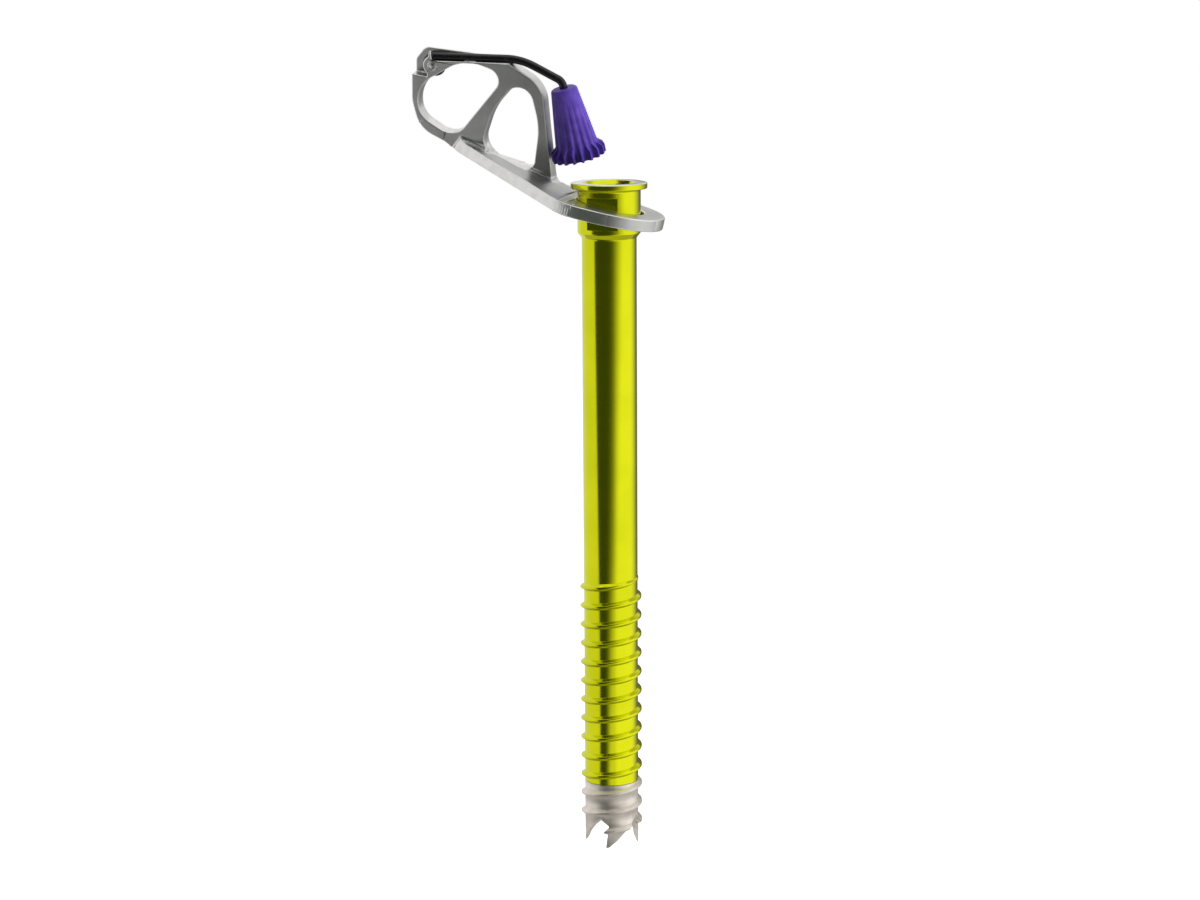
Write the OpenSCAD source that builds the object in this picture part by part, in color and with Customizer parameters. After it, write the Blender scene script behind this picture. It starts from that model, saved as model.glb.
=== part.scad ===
// Ice climbing screw: a threaded tube with a steel cutting head, a bent hanger
// that is trapped on the tube's head, and a folding crank with a free-turning knob.
// Millimetres. The tube's axis is Z, and Z = 0 is where the head ends and the shank begins.

/* [Tube] */
// Outer diameter of the tube
tube_d = 17; // [15:0.5:19]
// Wall thickness of the tube
tube_wall = 1.6; // [1.4:0.1:2.4]
// Length from the foot of the head to the tooth tips
shank_len = 194.2; // [150:0.2:240]

/* [Head of the tube] */
// Diameter of the thick head that the hanger sits on
head_d = 19.6; // [19.2:0.1:21]
// Height of the head with its flange and its cone
head_len = 17; // [15:0.5:22]
// Height of the cone between the head and the tube
head_cone = 1.6; // [0.8:0.1:2]
// Diameter of the flange that keeps the hanger on
flange_d = 23.7; // [22:0.1:27]
// Thickness of the flange
flange_t = 1.8; // [1.2:0.1:2.5]
// Radius of the cove under the flange
flange_cove = 0.9; // [0.3:0.1:1.2]
// Diameter of the chamfered mouth of the bore
mouth_d = 15.9; // [14.6:0.1:17]
// Distance across the two milled flats
flats_across = 17; // [16:0.1:18.4]
// Height of the milled flats
flats_len = 9.8; // [8:0.1:10.4]
// Distance from the flange's top down to the middle of the flats
flats_drop = 9.1; // [7.5:0.1:9.6]

/* [Thread] */
// Pitch of the right-hand thread
thread_pitch = 6.12; // [5:0.02:7]
// Outer diameter of the thread
thread_d = 19.4; // [18:0.1:21]
// Width of the ridge at its foot
ridge_foot = 2.4; // [1.6:0.1:3]
// Width of the ridge at its crest
ridge_crest = 0.7; // [0.4:0.1:1]
// Angle round the tube at which the thread starts
thread_phase = 57; // [-180:1:180]
// Length from the tooth tips up to the start of the thread
thread_top = 87.5; // [60:0.5:110]
// Length from the tooth tips up to the end of the thread
thread_low = 5.2; // [4:0.1:6.5]

/* [Cutting head] */
// Length of the steel cutting head that shows
steel_len = 20.6; // [18:0.2:28]
// Length of the spigot inside the tube
spigot_len = 9; // [6:0.5:14]
// Wall thickness of the spigot
spigot_wall = 0.75; // [0.6:0.05:0.9]
// Bond gap between the spigot and the tube
bond_gap = 0.04; // [0.02:0.01:0.08]
// Depth of the gullets between the teeth
gullet_depth = 9.7; // [8.5:0.1:11]
// Angle that the teeth are turned by, from the hanger's own direction
tooth_turn = 4; // [-45:1:45]

/* [Hanger ring] */
// Thickness of the ring and the arm
ring_t = 3.8; // [3.2:0.1:4.6]
// Outer radius of the ring
ring_r = 18; // [17.5:0.1:21]
// Radius of the round ends of the ring's hole
hole_r = 10.7; // [10.6:0.05:11.2]
// Play between the ring and the milled flats, on each side
flats_play = 0.15; // [0.05:0.05:0.3]
// Angle that the hanger is tilted up by as it is shown
rock = 12.6; // [10:0.1:12.8]

/* [Hanger arm and plate] */
// Distance from the tube's axis to the middle of the bend in the arm
arm_start = 11.2; // [10:0.1:13]
// Angle of the bend in the arm
arm_rise = 10; // [5:0.5:16]
// Radius of the bend in the arm
arm_bend_r = 45; // [30:1:60]
// Distance from the bend to where the arm's front edge meets the plate
arm_len = 43.5; // [38:0.5:48]
// Distance from the tube's axis back to the middle of the plate's foot
plate_back = 10; // [9:0.1:12]
// Thickness of the plate
plate_t = 4.4; // [4.2:0.1:5]
// Angle that the plate leans over the arm by
plate_lean = 16; // [10:0.5:20]
// Fillet in the corner between the arm and the plate
inner_fillet = 1.5; // [0.3:0.1:2]
// Rounding of the outer corner between the arm and the plate
outer_round = 5; // [1:0.1:5.6]

/* [Crank] */
// Diameter of the crank's wire
wire_d = 2.5; // [2:0.1:2.8]
// Length of the straight run of the wire from the eye
run_len = 24.4; // [23:0.1:26]
// Radius of the long bend of the wire
long_bend_r = 20; // [10:1:24]
// Angle of the long bend
long_bend = 27; // [20:0.5:28]
// Length of the wire between its two bends
bridge_len = 8.3; // [7:0.1:10]
// Radius of the short bend above the knob
short_bend_r = 3; // [2.4:0.1:3.2]
// Angle of the short bend
short_bend = 54.5; // [52:0.5:57]
// Angle of the wire's straight run to the arm
run_slope = 22.3; // [21:0.1:23.5]
// Distance of the pivot along the arm from its bend
pivot_s = 58.6; // [57:0.1:60]
// Height of the pivot up the plate
pivot_v = 22.1; // [21.5:0.1:23]
// Diameter of the pivot rivet
rivet_d = 2.5; // [2:0.1:2.8]
// Play of the rivet in the wire's eye, on the radius
rivet_play = 0.05; // [0.02:0.01:0.09]
// Diameter of the rivet's peened heads
rivet_head_d = 3.2; // [2.9:0.1:4]
// Height of the rivet's peened heads
rivet_head_h = 0.35; // [0.2:0.05:0.6]
// Turn of the wire round the rivet
eye_turn = 255; // [220:1:258]
// Angle that the crank swings out by
crank_open = 170; // [160:1:172]
// Play on each side of the wire in the slot of the plate
slot_play = 0.12; // [0.05:0.01:0.2]
// Radius of the front cheek round the rivet
cheek_r = 3.1; // [2.6:0.1:3.6]
// Height that the front lip of the groove covers of the wire
lip_cover = 0.4; // [0.1:0.1:1]

/* [Knob] */
// Length of the knob
knob_len = 22.4; // [20:0.1:22.6]
// Diameter of the knob's small end
knob_small_d = 8.1; // [7.6:0.1:10]
// Diameter of the knob where the rim starts to flare
knob_wide_d = 13.2; // [12:0.1:14.4]
// Diameter of the knob's rim
knob_rim_d = 17; // [15.6:0.1:17.2]
// Height of the flared rim
knob_flare = 4.4; // [3:0.1:6]
// Number of flutes round the knob
flutes = 18; // [12:1:20]
// Depth of the flutes at the rim
flute_depth = 1.9; // [1.4:0.1:2.1]
// Radius of the flutes
flute_r = 1; // [0.7:0.05:1.1]
// Gap between the knob and the short bend of the wire
knob_gap = 0.6; // [0.4:0.1:1.5]
// Play of the knob on the wire, on the radius
knob_play = 0.06; // [0.03:0.01:0.09]
// Depth of the recess in the knob's wide end
recess_depth = 5; // [4:0.1:8]
// Diameter of the recess in the knob's wide end
recess_d = 9; // [7:0.1:10]
// Thickness of the washer in the recess
washer_t = 0.6; // [0.4:0.1:1]
// Diameter of the washer in the recess
washer_d = 6.4; // [5.6:0.1:6.8]
// Thickness of the clip that is pushed on the end of the wire
clip_t = 0.4; // [0.3:0.1:0.6]
// Height of the clip's raised fingers
clip_h = 1; // [0.8:0.1:1.4]
// Length of the wire that stands out of the clip
wire_end = 1; // [0.4:0.1:1.5]

/* [Hidden] */
$fn = 96;

lime = [0.78, 0.84, 0.12];
steel = [0.62, 0.59, 0.55];
satin = [0.62, 0.62, 0.60];
bright = [0.80, 0.79, 0.77];
black = [0.06, 0.06, 0.06];
purple = [0.36, 0.22, 0.66];

eps = 0.01;
tube_r = tube_d / 2;
bore_r = tube_r - tube_wall;
head_r = head_d / 2;
flange_r = flange_d / 2;
flange_z = head_len - flange_t;
tip_z = -shank_len;
steel_z = tip_z + steel_len;
spigot_r = bore_r + spigot_wall;
socket_r = spigot_r + bond_gap;
flats_z = head_len - flats_drop;
tooth_count = 4;
mouth_slope = 1.4;
flange_edge_r = 0.3;
wire_r = wire_d / 2;
rivet_r = rivet_d / 2;

// Points of the arc that rounds the corner at b, between its neighbours a and c
function unit(v) = v / norm(v);
function turn_to(a) = a > 180 ? a - 360 : (a < -180 ? a + 360 : a);
function corner(a, b, c, r, n) =
    let (u = unit(a - b), w = unit(c - b), half = acos(u * w) / 2,
         o = b + unit(u + w) * r / sin(half), p = b + u * r / tan(half) - o,
         q = b + w * r / tan(half) - o, a0 = atan2(p.y, p.x),
         da = turn_to(atan2(q.y, q.x) - a0))
    [for (i = [0 : n]) o + r * [cos(a0 + da * i / n), sin(a0 + da * i / n)]];

// Outline whose corners are [x, y, radius], each one rounded by its radius
function rounded(pts, n = 10) =
    let (k = len(pts))
    [for (i = [0 : k - 1])
        let (a = pts[(i + k - 1) % k], b = pts[i], c = pts[(i + 1) % k])
        each (b.z > 0
              ? corner([a.x, a.y], [b.x, b.y], [c.x, c.y], b.z, n)
              : [[b.x, b.y]])];

// One ring of the thread's ridge, whose foot is sunk in the tube and which fades in
ridge_steps = 24;
ridge_sink = 0.5;
fade_turn = 0.45;
thread_z = tip_z + thread_top;
function ridge_ring(z) =
    let (a = 360 * (z - thread_z) / thread_pitch + thread_phase,
         grow = min(1, (thread_z - z) / (fade_turn * thread_pitch)),
         low_r = tube_r - ridge_sink, top_r = low_r + eps + (thread_d / 2 - low_r) * grow,
         side = [[low_r, -ridge_foot / 2], [top_r, -ridge_crest / 2],
                 [top_r, ridge_crest / 2], [low_r, ridge_foot / 2]])
    [for (p = side) [p.x * cos(a), p.x * sin(a), z + p.y]];

module ridge(z0, z1) {
    n = ceil((z1 - z0) / thread_pitch * ridge_steps);
    pts = [for (i = [0 : n]) each ridge_ring(z0 + (z1 - z0) * i / n)];
    sides = [for (i = [0 : n - 1], k = [0 : 3])
        let (a = 4 * i + k, b = 4 * i + (k + 1) % 4)
        each [[a, b, b + 4], [a, b + 4, a + 4]]];
    ends = [[0, 3, 2], [0, 2, 1], [4 * n, 4 * n + 1, 4 * n + 2], [4 * n, 4 * n + 2, 4 * n + 3]];
    polyhedron(points = pts, faces = concat(sides, ends));
}

// Outside of the tube with its head and flange, turned round the tube's axis
module tube_body() {
    rotate_extrude()
        polygon(concat(
            [[0, steel_z], [tube_r, steel_z], [tube_r, 0], [head_r, head_cone]],
            corner([head_r, head_cone], [head_r, flange_z], [flange_r, flange_z], flange_cove, 8),
            corner([head_r, flange_z], [flange_r, flange_z], [flange_r, head_len],
                   flange_edge_r, 4),
            corner([flange_r, flange_z], [flange_r, head_len], [0, head_len],
                   flange_edge_r, 4),
            [[0, head_len]]));
}

module flats_cut() {
    for (side = [-1, 1])
        translate([0, side * (flats_across / 2 + head_r), flats_z])
            cube([2 * flange_d, 2 * head_r, flats_len], center = true);
}

module bore() {
    translate([0, 0, tip_z - 1])
        cylinder(h = shank_len + head_len + 2, r = bore_r);
}

module mouth() {
    depth = mouth_slope * (mouth_d / 2 - bore_r);
    translate([0, 0, head_len - depth])
        cylinder(h = 2 * depth, r1 = bore_r, r2 = mouth_d - bore_r);
}

module screw_tube() {
    color(lime)
        difference() {
            union() {
                tube_body();
                difference() {
                    ridge(steel_z - thread_pitch / 2, thread_z);
                    translate([-tube_d, -tube_d, steel_z - 2 * tube_d])
                        cube(2 * tube_d);
                }
            }
            flats_cut();
            bore();
            mouth();
            translate([0, 0, steel_z - 1])
                cylinder(h = 1 + spigot_len + bond_gap, r = socket_r);
        }
}

// Side view of one gullet, cut straight in towards the axis, midway between two teeth
tip_x = tube_r * sin(180 / tooth_count - 3);
pocket_r = 1.4;
module gullet() {
    rotate([90, 0, 90])
        linear_extrude(height = tube_d)
            polygon(rounded([
                [-tip_x, -1, 0], [-tip_x, 0, 0],
                [tip_x - pocket_r, gullet_depth, pocket_r / 2],
                [tip_x + pocket_r / 2, gullet_depth - 1.6 * pocket_r, pocket_r],
                [tip_x, 0, 0], [tip_x, -1, 0]], 6));
}

module cutting_head() {
    color(steel)
        difference() {
            union() {
                translate([0, 0, tip_z])
                    cylinder(h = steel_len, r = tube_r);
                translate([0, 0, tip_z])
                    cylinder(h = steel_len + spigot_len, r = spigot_r);
                difference() {
                    ridge(tip_z + thread_low, steel_z + thread_pitch / 2);
                    translate([-tube_d, -tube_d, steel_z])
                        cube(2 * tube_d);
                }
            }
            bore();
            for (i = [0 : tooth_count - 1])
                rotate([0, 0, tooth_turn + 360 / tooth_count * (i + 0.5)])
                    translate([0, 0, tip_z])
                        gullet();
        }
}

// Places what is drawn in the hanger's own frame, whose origin is the ring's centre
module in_hanger() {
    translate([0, 0, flats_z])
        rotate([0, rock, 0])
            children();
}

// Places what is drawn in the arm's frame: X back to the ring, Y to the rear, Z up
module in_arm() {
    in_hanger()
        translate([-arm_start, 0, 0])
            rotate([0, arm_rise, 0])
                children();
}

// Places what is drawn on the plate: X along to the tip, Y up the plate, Z to the rear
module in_plate() {
    in_arm()
        translate([0, plate_back, 0])
            rotate([-(90 - plate_lean), 0, 0])
                rotate([0, 0, 180])
                    children();
}

// Side view of the ring, level as far as the bend in the arm, and bent up to its end
bend_tangent = arm_bend_r * tan(arm_rise / 2);
function side_line(off) = concat(
    [[2 * ring_r, off]],
    [for (i = [0 : 8])
        let (a = arm_rise * i / 8)
        [-arm_start + bend_tangent - (arm_bend_r - off) * sin(a),
         off + (arm_bend_r - off) * (1 - cos(a))]]);

module ring_band() {
    lower = side_line(-ring_t / 2);
    upper = side_line(ring_t / 2);
    last = len(upper) - 1;
    rotate([90, 0, 0])
        linear_extrude(height = 4 * ring_r, center = true)
            polygon(concat(lower, [for (i = [last : -1 : 0]) upper[i]]));
}

// Places of the plate's two faces where they meet the arm's
lean_shift = plate_t / 2 / cos(plate_lean) + ring_t / 2 * tan(plate_lean);
plate_rear = plate_back + lean_shift;
plate_front = plate_back - lean_shift;
arm_reach = 70;

// Section across the arm: the arm is level and the plate leans forward over it
module bend_section() {
    lean = [-sin(plate_lean), cos(plate_lean)];
    polygon(rounded([
        [-2 * ring_r, -ring_t / 2, 0], [plate_rear, -ring_t / 2, outer_round],
        [plate_rear, -ring_t / 2, 0] + arm_reach * [lean.x, lean.y, 0],
        [plate_front, ring_t / 2, 0] + arm_reach * [lean.x, lean.y, 0],
        [plate_front, ring_t / 2, inner_fillet], [-2 * ring_r, ring_t / 2, 0]], 8));
}

// Outline of the ring and the arm, seen from above
ring_shift = -0.7;
waist_r = 22;
arm_end = -arm_start - arm_len * cos(arm_rise);
front_slope = (plate_front + ring_r) / (arm_end + arm_start);
far_end = -arm_start + (plate_rear + ring_r) / front_slope;
module plan_outline() {
    translate([ring_shift, 0])
        circle(r = ring_r);
    polygon(rounded([
        [ring_shift, -ring_r, 0], [ring_shift, plate_rear, 0], [far_end, plate_rear, 0],
        [1 - arm_start, -ring_r, waist_r]], 14));
}

module plan_prism() {
    linear_extrude(height = 6 * ring_r, center = true)
        plan_outline();
}

module ring_hole() {
    intersection() {
        cylinder(h = 3 * ring_t, r = hole_r, center = true);
        cube([3 * ring_r, flats_across + 2 * flats_play, 4 * ring_t], center = true);
    }
}

// Outlines on the plate: along it to the tip, up it, and the radius of each corner
plate_shape = [
    [5, -1.5, 0], [5, 1.9, 0], [10.4, 1.9, 3], [17.6, 18.4, 30], [22.9, 31, 10],
    [37, 33.6, 12], [63.6, 25.6, 3.4], [65.4, 20.6, 2.5], [61.9, 8.5, 12],
    [57, 0.6, 9], [47, -0.2, 8], [42, -1.5, 0]];
near_window = [
    [29.4, 33, 4.6], [36, 17, 22], [36.2, 1.4, 6], [22.5, 2.9, 5],
    [17.4, 2.4, 3], [20.2, 18, 24]];
tip_window = [
    [35, 29.4, 3.8], [49.4, 28.6, 14], [61.4, 14, 10], [58.4, 4.6, 7], [45, 2.2, 6.5]];

module plate_prism(front) {
    translate([0, 0, -front])
        linear_extrude(height = front + 3 * plate_t)
            difference() {
                polygon(rounded(plate_shape));
                for (window = [near_window, tip_window])
                    polygon(rounded(window));
            }
}

// Places what is drawn at the pivot: X along the wire at rest, Z along the rivet
module at_pivot() {
    in_plate()
        translate([pivot_s, pivot_v, 0])
            rotate([0, 0, 180 - run_slope])
                children();
}

// Room for the wire in the middle of the plate's thickness, as it swings from end to end
eye_r = rivet_r + rivet_play + wire_r;
slot_half = wire_r + slot_play;
swing_r = eye_r + wire_r + slot_play;
groove_floor = eye_r - wire_r - slot_play;
cut_size = 60;
module wire_slot() {
    translate([0, 0, -slot_half])
        linear_extrude(height = 2 * slot_half) {
            circle(r = swing_r);
            translate([0, -groove_floor - cut_size])
                square(cut_size);
            rotate(-crank_open)
                translate([0, -swing_r])
                    square(cut_size);
        }
}

// What the front cheek leaves open: above its lip, and beyond its round end
module front_opening() {
    lip = groove_floor + slot_play + lip_cover;
    translate([0, 0, -plate_t])
        linear_extrude(height = plate_t - slot_half + eps) {
            translate([0, -lip - cut_size])
                square(cut_size);
            difference() {
                rotate(-crank_open)
                    translate([cheek_r / 2, -swing_r])
                        square(cut_size);
                circle(r = cheek_r);
            }
        }
}

module hanger() {
    color(satin)
        difference() {
            union() {
                in_hanger()
                    intersection() {
                        ring_band();
                        plan_prism();
                    }
                intersection() {
                    in_arm()
                        translate([-bend_tangent + eps, 0, 0])
                            rotate([90, 0, -90])
                                mirror([1, 0, 0])
                                    linear_extrude(height = arm_reach)
                                        bend_section();
                    union() {
                        in_plate()
                            plate_prism(plate_t / 2 + eps);
                        intersection() {
                            in_hanger()
                                plan_prism();
                            union() {
                                in_plate()
                                    plate_prism(3 * plate_t);
                                in_arm()
                                    cube([4 * arm_reach, 4 * arm_reach, ring_t], center = true);
                            }
                        }
                    }
                }
            }
            in_hanger()
                ring_hole();
            at_pivot()
                wire_slot();
            at_pivot()
                front_opening();
            at_pivot()
                cylinder(h = 2 * plate_t, r = rivet_r, center = true);
        }
}

module pivot_rivet() {
    color(bright)
        in_plate()
            translate([pivot_s, pivot_v, 0]) {
                cylinder(h = plate_t, r = rivet_r, center = true);
                for (side = [0, 1])
                    mirror([0, 0, side])
                        translate([0, 0, plate_t / 2])
                            cylinder(h = rivet_head_h, r1 = rivet_head_d / 2, r2 = rivet_r);
            }
}

// A straight length of the wire along X, and what follows it. Its ends are sunk a hair
// into the bends next to it, which are thicker by a hair.
sink = 0.02;
bend_wire_r = wire_r + sink / 4;
module wire_line(len, back = sink, front = sink) {
    translate([-back, 0, 0])
        rotate([0, 90, 0])
            cylinder(h = back + len + front, r = wire_r);
    translate([len, 0, 0])
        children();
}

// A bend of the wire to the left, and what follows it
module wire_bend(r, turn) {
    translate([0, r, 0])
        rotate([0, 0, -90])
            rotate_extrude(angle = turn)
                translate([r, 0])
                    circle(r = bend_wire_r);
    translate([r * sin(turn), r * (1 - cos(turn)), 0])
        rotate([0, 0, turn])
            children();
}

leg_len = knob_gap + knob_len - recess_depth + knob_play + washer_t + clip_h + wire_end;
module crank_wire() {
    color(black)
        at_pivot() {
            rotate([0, 0, -90 - eye_turn])
                rotate_extrude(angle = eye_turn)
                    translate([eye_r, 0])
                        circle(r = bend_wire_r);
            translate([0, -eye_r, 0])
                wire_line(run_len)
                    wire_bend(long_bend_r, long_bend)
                        wire_line(bridge_len)
                            wire_bend(short_bend_r, short_bend)
                                wire_line(leg_len, front = 0);
        }
}

// Places what is drawn on the knob's axis: Z runs from its small end to its wide end
module on_leg() {
    at_pivot()
        translate([run_len, -eye_r, 0])
            translate([long_bend_r * sin(long_bend), long_bend_r * (1 - cos(long_bend)), 0])
                rotate([0, 0, long_bend])
                    translate([bridge_len + short_bend_r * sin(short_bend),
                               short_bend_r * (1 - cos(short_bend)), 0])
                        rotate([0, 0, short_bend])
                            translate([knob_gap, 0, 0])
                                rotate([0, 90, 0])
                                    children();
}

flare_z = knob_len - knob_flare;
flare_end_z = flare_z + 0.36 * knob_flare;
flute_z = knob_len / 5;
small_round = 0.8;
flare_round = 1.6;
shoulder_round = 1.2;
rim_round = 0.5;
module knob_body() {
    small_r = knob_small_d / 2;
    wide_r = knob_wide_d / 2;
    rim_r = knob_rim_d / 2;
    rotate_extrude()
        polygon(concat(
            [[wire_r + knob_play, 0]],
            corner([0, 0], [small_r, 0], [wide_r, flare_z], small_round, 6),
            corner([small_r, 0], [wide_r, flare_z], [rim_r, flare_end_z], flare_round, 6),
            corner([wide_r, flare_z], [rim_r, flare_end_z], [rim_r, knob_len], shoulder_round, 5),
            corner([rim_r, flare_z], [rim_r, knob_len], [0, knob_len], rim_round, 4),
            [[recess_d / 2, knob_len], [recess_d / 2, knob_len - recess_depth],
             [wire_r + knob_play, knob_len - recess_depth]]));
}

module flute_cuts() {
    start_r = knob_small_d / 2 + (knob_wide_d - knob_small_d) / 2 * flute_z / flare_z + flute_r;
    end_r = knob_rim_d / 2 - flute_depth + flute_r;
    lean = atan2(end_r - start_r, knob_len - flute_z);
    for (i = [0 : flutes - 1])
        rotate([0, 0, 360 * i / flutes])
            translate([start_r, 0, flute_z])
                rotate([0, lean, 0])
                    cylinder(h = knob_len, r = flute_r, $fn = 24);
}

module crank_knob() {
    color(purple)
        on_leg()
            difference() {
                knob_body();
                flute_cuts();
            }
}

washer_z = knob_len - recess_depth + knob_play;
module knob_washer() {
    color(bright)
        on_leg()
            translate([0, 0, washer_z])
                difference() {
                    cylinder(h = washer_t, r = washer_d / 2);
                    translate([0, 0, -eps])
                        cylinder(h = washer_t + 2 * eps, r = wire_r);
                }
}

// The clip is a thin cap whose raised middle grips the wire
module knob_clip() {
    color(bright)
        on_leg()
            translate([0, 0, washer_z + washer_t])
                rotate_extrude()
                    polygon([
                        [wire_r + 0.9 * clip_t, 0], [washer_d / 2 - clip_t, 0],
                        [washer_d / 2 - clip_t, clip_t], [wire_r + 1.6 * clip_t, clip_t],
                        [wire_r + clip_t, clip_h], [wire_r, clip_h], [wire_r, clip_h - clip_t]]);
}

screw_tube();
cutting_head();
hanger();
pivot_rivet();
crank_wire();
knob_washer();
knob_clip();
crank_knob();
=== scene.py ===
"""Looks of an ice climbing screw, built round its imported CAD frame.

The tube, its steel cutting head, the bent hanger, the folding crank and its knob are
modelled at full detail in millimetres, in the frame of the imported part, and written to
their meshes in metres.
"""

import logging
import math
from collections.abc import Callable, Iterable, Sequence
from dataclasses import dataclass, field
from enum import Enum

import bmesh
import bpy
import numpy as np
from mathutils import Matrix, Vector

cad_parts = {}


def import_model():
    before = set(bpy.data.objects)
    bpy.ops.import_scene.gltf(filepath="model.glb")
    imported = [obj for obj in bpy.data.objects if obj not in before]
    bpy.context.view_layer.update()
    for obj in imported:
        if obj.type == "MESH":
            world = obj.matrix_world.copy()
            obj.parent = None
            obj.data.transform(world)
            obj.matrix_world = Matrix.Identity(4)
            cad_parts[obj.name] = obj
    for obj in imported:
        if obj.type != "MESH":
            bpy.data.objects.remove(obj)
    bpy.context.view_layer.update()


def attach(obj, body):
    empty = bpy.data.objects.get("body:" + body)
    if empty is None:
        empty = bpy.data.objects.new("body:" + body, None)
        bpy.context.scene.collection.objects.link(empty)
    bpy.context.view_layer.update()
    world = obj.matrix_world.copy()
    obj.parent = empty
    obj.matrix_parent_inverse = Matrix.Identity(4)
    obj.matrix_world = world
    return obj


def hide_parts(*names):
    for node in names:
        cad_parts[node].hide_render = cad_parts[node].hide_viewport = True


LOG = logging.getLogger("ice_screw")
MM = 0.001

Point2 = tuple[float, float]
Corner = tuple[float, float, float]


class Fuse(Enum):
    """How a second solid changes the first one."""

    UNION = "UNION"
    CUT = "DIFFERENCE"
    COMMON = "INTERSECT"


class Facing(Enum):
    """How a swept section keeps its direction along its path."""

    UPRIGHT = "Z_UP"
    LEAST_TWIST = "MINIMUM_TWIST"


# Outlines


def unit(v: np.ndarray) -> np.ndarray:
    """Vector of length one."""
    return v / np.linalg.norm(v)


def corner(a: Point2, b: Point2, c: Point2, radius: float, steps: int) -> list[Point2]:
    """Arc that rounds the corner at b.

    Args:
        a: Point before the corner.
        b: The corner.
        c: Point after the corner.
        radius: Radius of the arc in millimetres.
        steps: Number of straight steps in the arc.

    Returns:
        The points of the arc.
    """
    pa, pb, pc = (np.array(p[:2], float) for p in (a, b, c))
    u, w = unit(pa - pb), unit(pc - pb)
    half = math.acos(float(np.clip(u @ w, -1.0, 1.0))) / 2
    centre = pb + unit(u + w) * radius / math.sin(half)
    start = pb + u * radius / math.tan(half) - centre
    end = pb + w * radius / math.tan(half) - centre
    first = math.atan2(start[1], start[0])
    turn = math.atan2(end[1], end[0]) - first
    turn = (turn + math.pi) % (2 * math.pi) - math.pi
    return [
        (
            float(centre[0] + radius * math.cos(first + turn * i / steps)),
            float(centre[1] + radius * math.sin(first + turn * i / steps)),
        )
        for i in range(steps + 1)
    ]


def rounded(corners: Sequence[Corner], steps: int = 24) -> list[Point2]:
    """Outline whose corners are (x, y, radius), each one rounded by its radius.

    Args:
        corners: Corners of the outline.
        steps: Number of straight steps in each arc.

    Returns:
        The points of the outline.
    """
    found: list[Point2] = []
    for i, here in enumerate(corners):
        before, after = corners[i - 1], corners[(i + 1) % len(corners)]
        if here[2] > 0:
            found += corner(before[:2], here[:2], after[:2], here[2], steps)
        else:
            found.append(here[:2])
    return found


def oblong(left: float, low: float, right: float, high: float) -> list[Point2]:
    """Corners of a rectangle between these sides."""
    return [(left, low), (right, low), (right, high), (left, high)]


def disc(radius: float, steps: int = 128, at: Point2 = (0.0, 0.0)) -> list[Point2]:
    """Circle as an outline.

    Args:
        radius: Radius in millimetres.
        steps: Number of straight steps.
        at: Centre of the circle.

    Returns:
        The points of the outline.
    """
    return [
        (
            at[0] + radius * math.cos(2 * math.pi * i / steps),
            at[1] + radius * math.sin(2 * math.pi * i / steps),
        )
        for i in range(steps)
    ]


# Solids


def place(x: float = 0.0, y: float = 0.0, z: float = 0.0) -> Matrix:
    """Matrix that moves by millimetres."""
    return Matrix.Translation((x, y, z))


def turn(degrees: float, axis: str) -> Matrix:
    """Matrix that turns by degrees about an axis."""
    return Matrix.Rotation(math.radians(degrees), 4, axis)


def to_object(name: str, work: bmesh.types.BMesh) -> bpy.types.Object:
    """Object at the origin that holds a working mesh.

    Args:
        name: Name of the piece.
        work: The working mesh, which is freed.

    Returns:
        The new object, linked to the scene.
    """
    mesh = bpy.data.meshes.new(name)
    work.to_mesh(mesh)
    work.free()
    made = bpy.data.objects.new(name, mesh)
    bpy.context.scene.collection.objects.link(made)
    return made


def prism(
    name: str, outline: Sequence[Point2], low: float, high: float, where: Matrix | None = None
) -> bpy.types.Object:
    """Solid with a flat outline and straight sides.

    Args:
        name: Name of the solid.
        outline: Outline in the XY plane.
        low: Lower end along Z.
        high: Upper end along Z.
        where: Matrix that places the solid.

    Returns:
        The solid.
    """
    work = bmesh.new()
    floor = [work.verts.new((x, y, low)) for x, y in outline]
    roof = [work.verts.new((x, y, high)) for x, y in outline]
    work.faces.new(floor)
    work.faces.new(roof)
    for i in range(len(outline)):
        j = (i + 1) % len(outline)
        work.faces.new((floor[i], floor[j], roof[j], roof[i]))
    if where is not None:
        work.transform(where)
    bmesh.ops.recalc_face_normals(work, faces=work.faces)
    return to_object(name, work)


def lathe(
    name: str, profile: Sequence[Point2], steps: int = 160, where: Matrix | None = None
) -> bpy.types.Object:
    """Solid turned round Z from a closed profile of (radius, height).

    Args:
        name: Name of the solid.
        profile: Closed profile. Points on the axis are merged.
        steps: Number of steps round the axis.
        where: Matrix that places the solid.

    Returns:
        The solid.
    """
    work = bmesh.new()
    rings = []
    for i in range(steps):
        a = 2 * math.pi * i / steps
        rings.append([work.verts.new((r * math.cos(a), r * math.sin(a), z)) for r, z in profile])
    for i in range(steps):
        here, there = rings[i], rings[(i + 1) % steps]
        for k in range(len(profile)):
            m = (k + 1) % len(profile)
            if profile[k][0] > 1e-6 or profile[m][0] > 1e-6:
                work.faces.new((here[k], there[k], there[m], here[m]))
    bmesh.ops.remove_doubles(work, verts=work.verts, dist=1e-5)
    if where is not None:
        work.transform(where)
    bmesh.ops.recalc_face_normals(work, faces=work.faces)
    return to_object(name, work)


def bake(piece: bpy.types.Object) -> bpy.types.Object:
    """Turns a piece and its modifiers into a plain mesh.

    Args:
        piece: The piece.

    Returns:
        The same piece, without modifiers.
    """
    bpy.context.view_layer.update()
    shown = piece.evaluated_get(bpy.context.evaluated_depsgraph_get())
    mesh = bpy.data.meshes.new_from_object(shown)
    piece.modifiers.clear()
    old = piece.data
    piece.data = mesh
    bpy.data.meshes.remove(old)
    return piece


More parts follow.
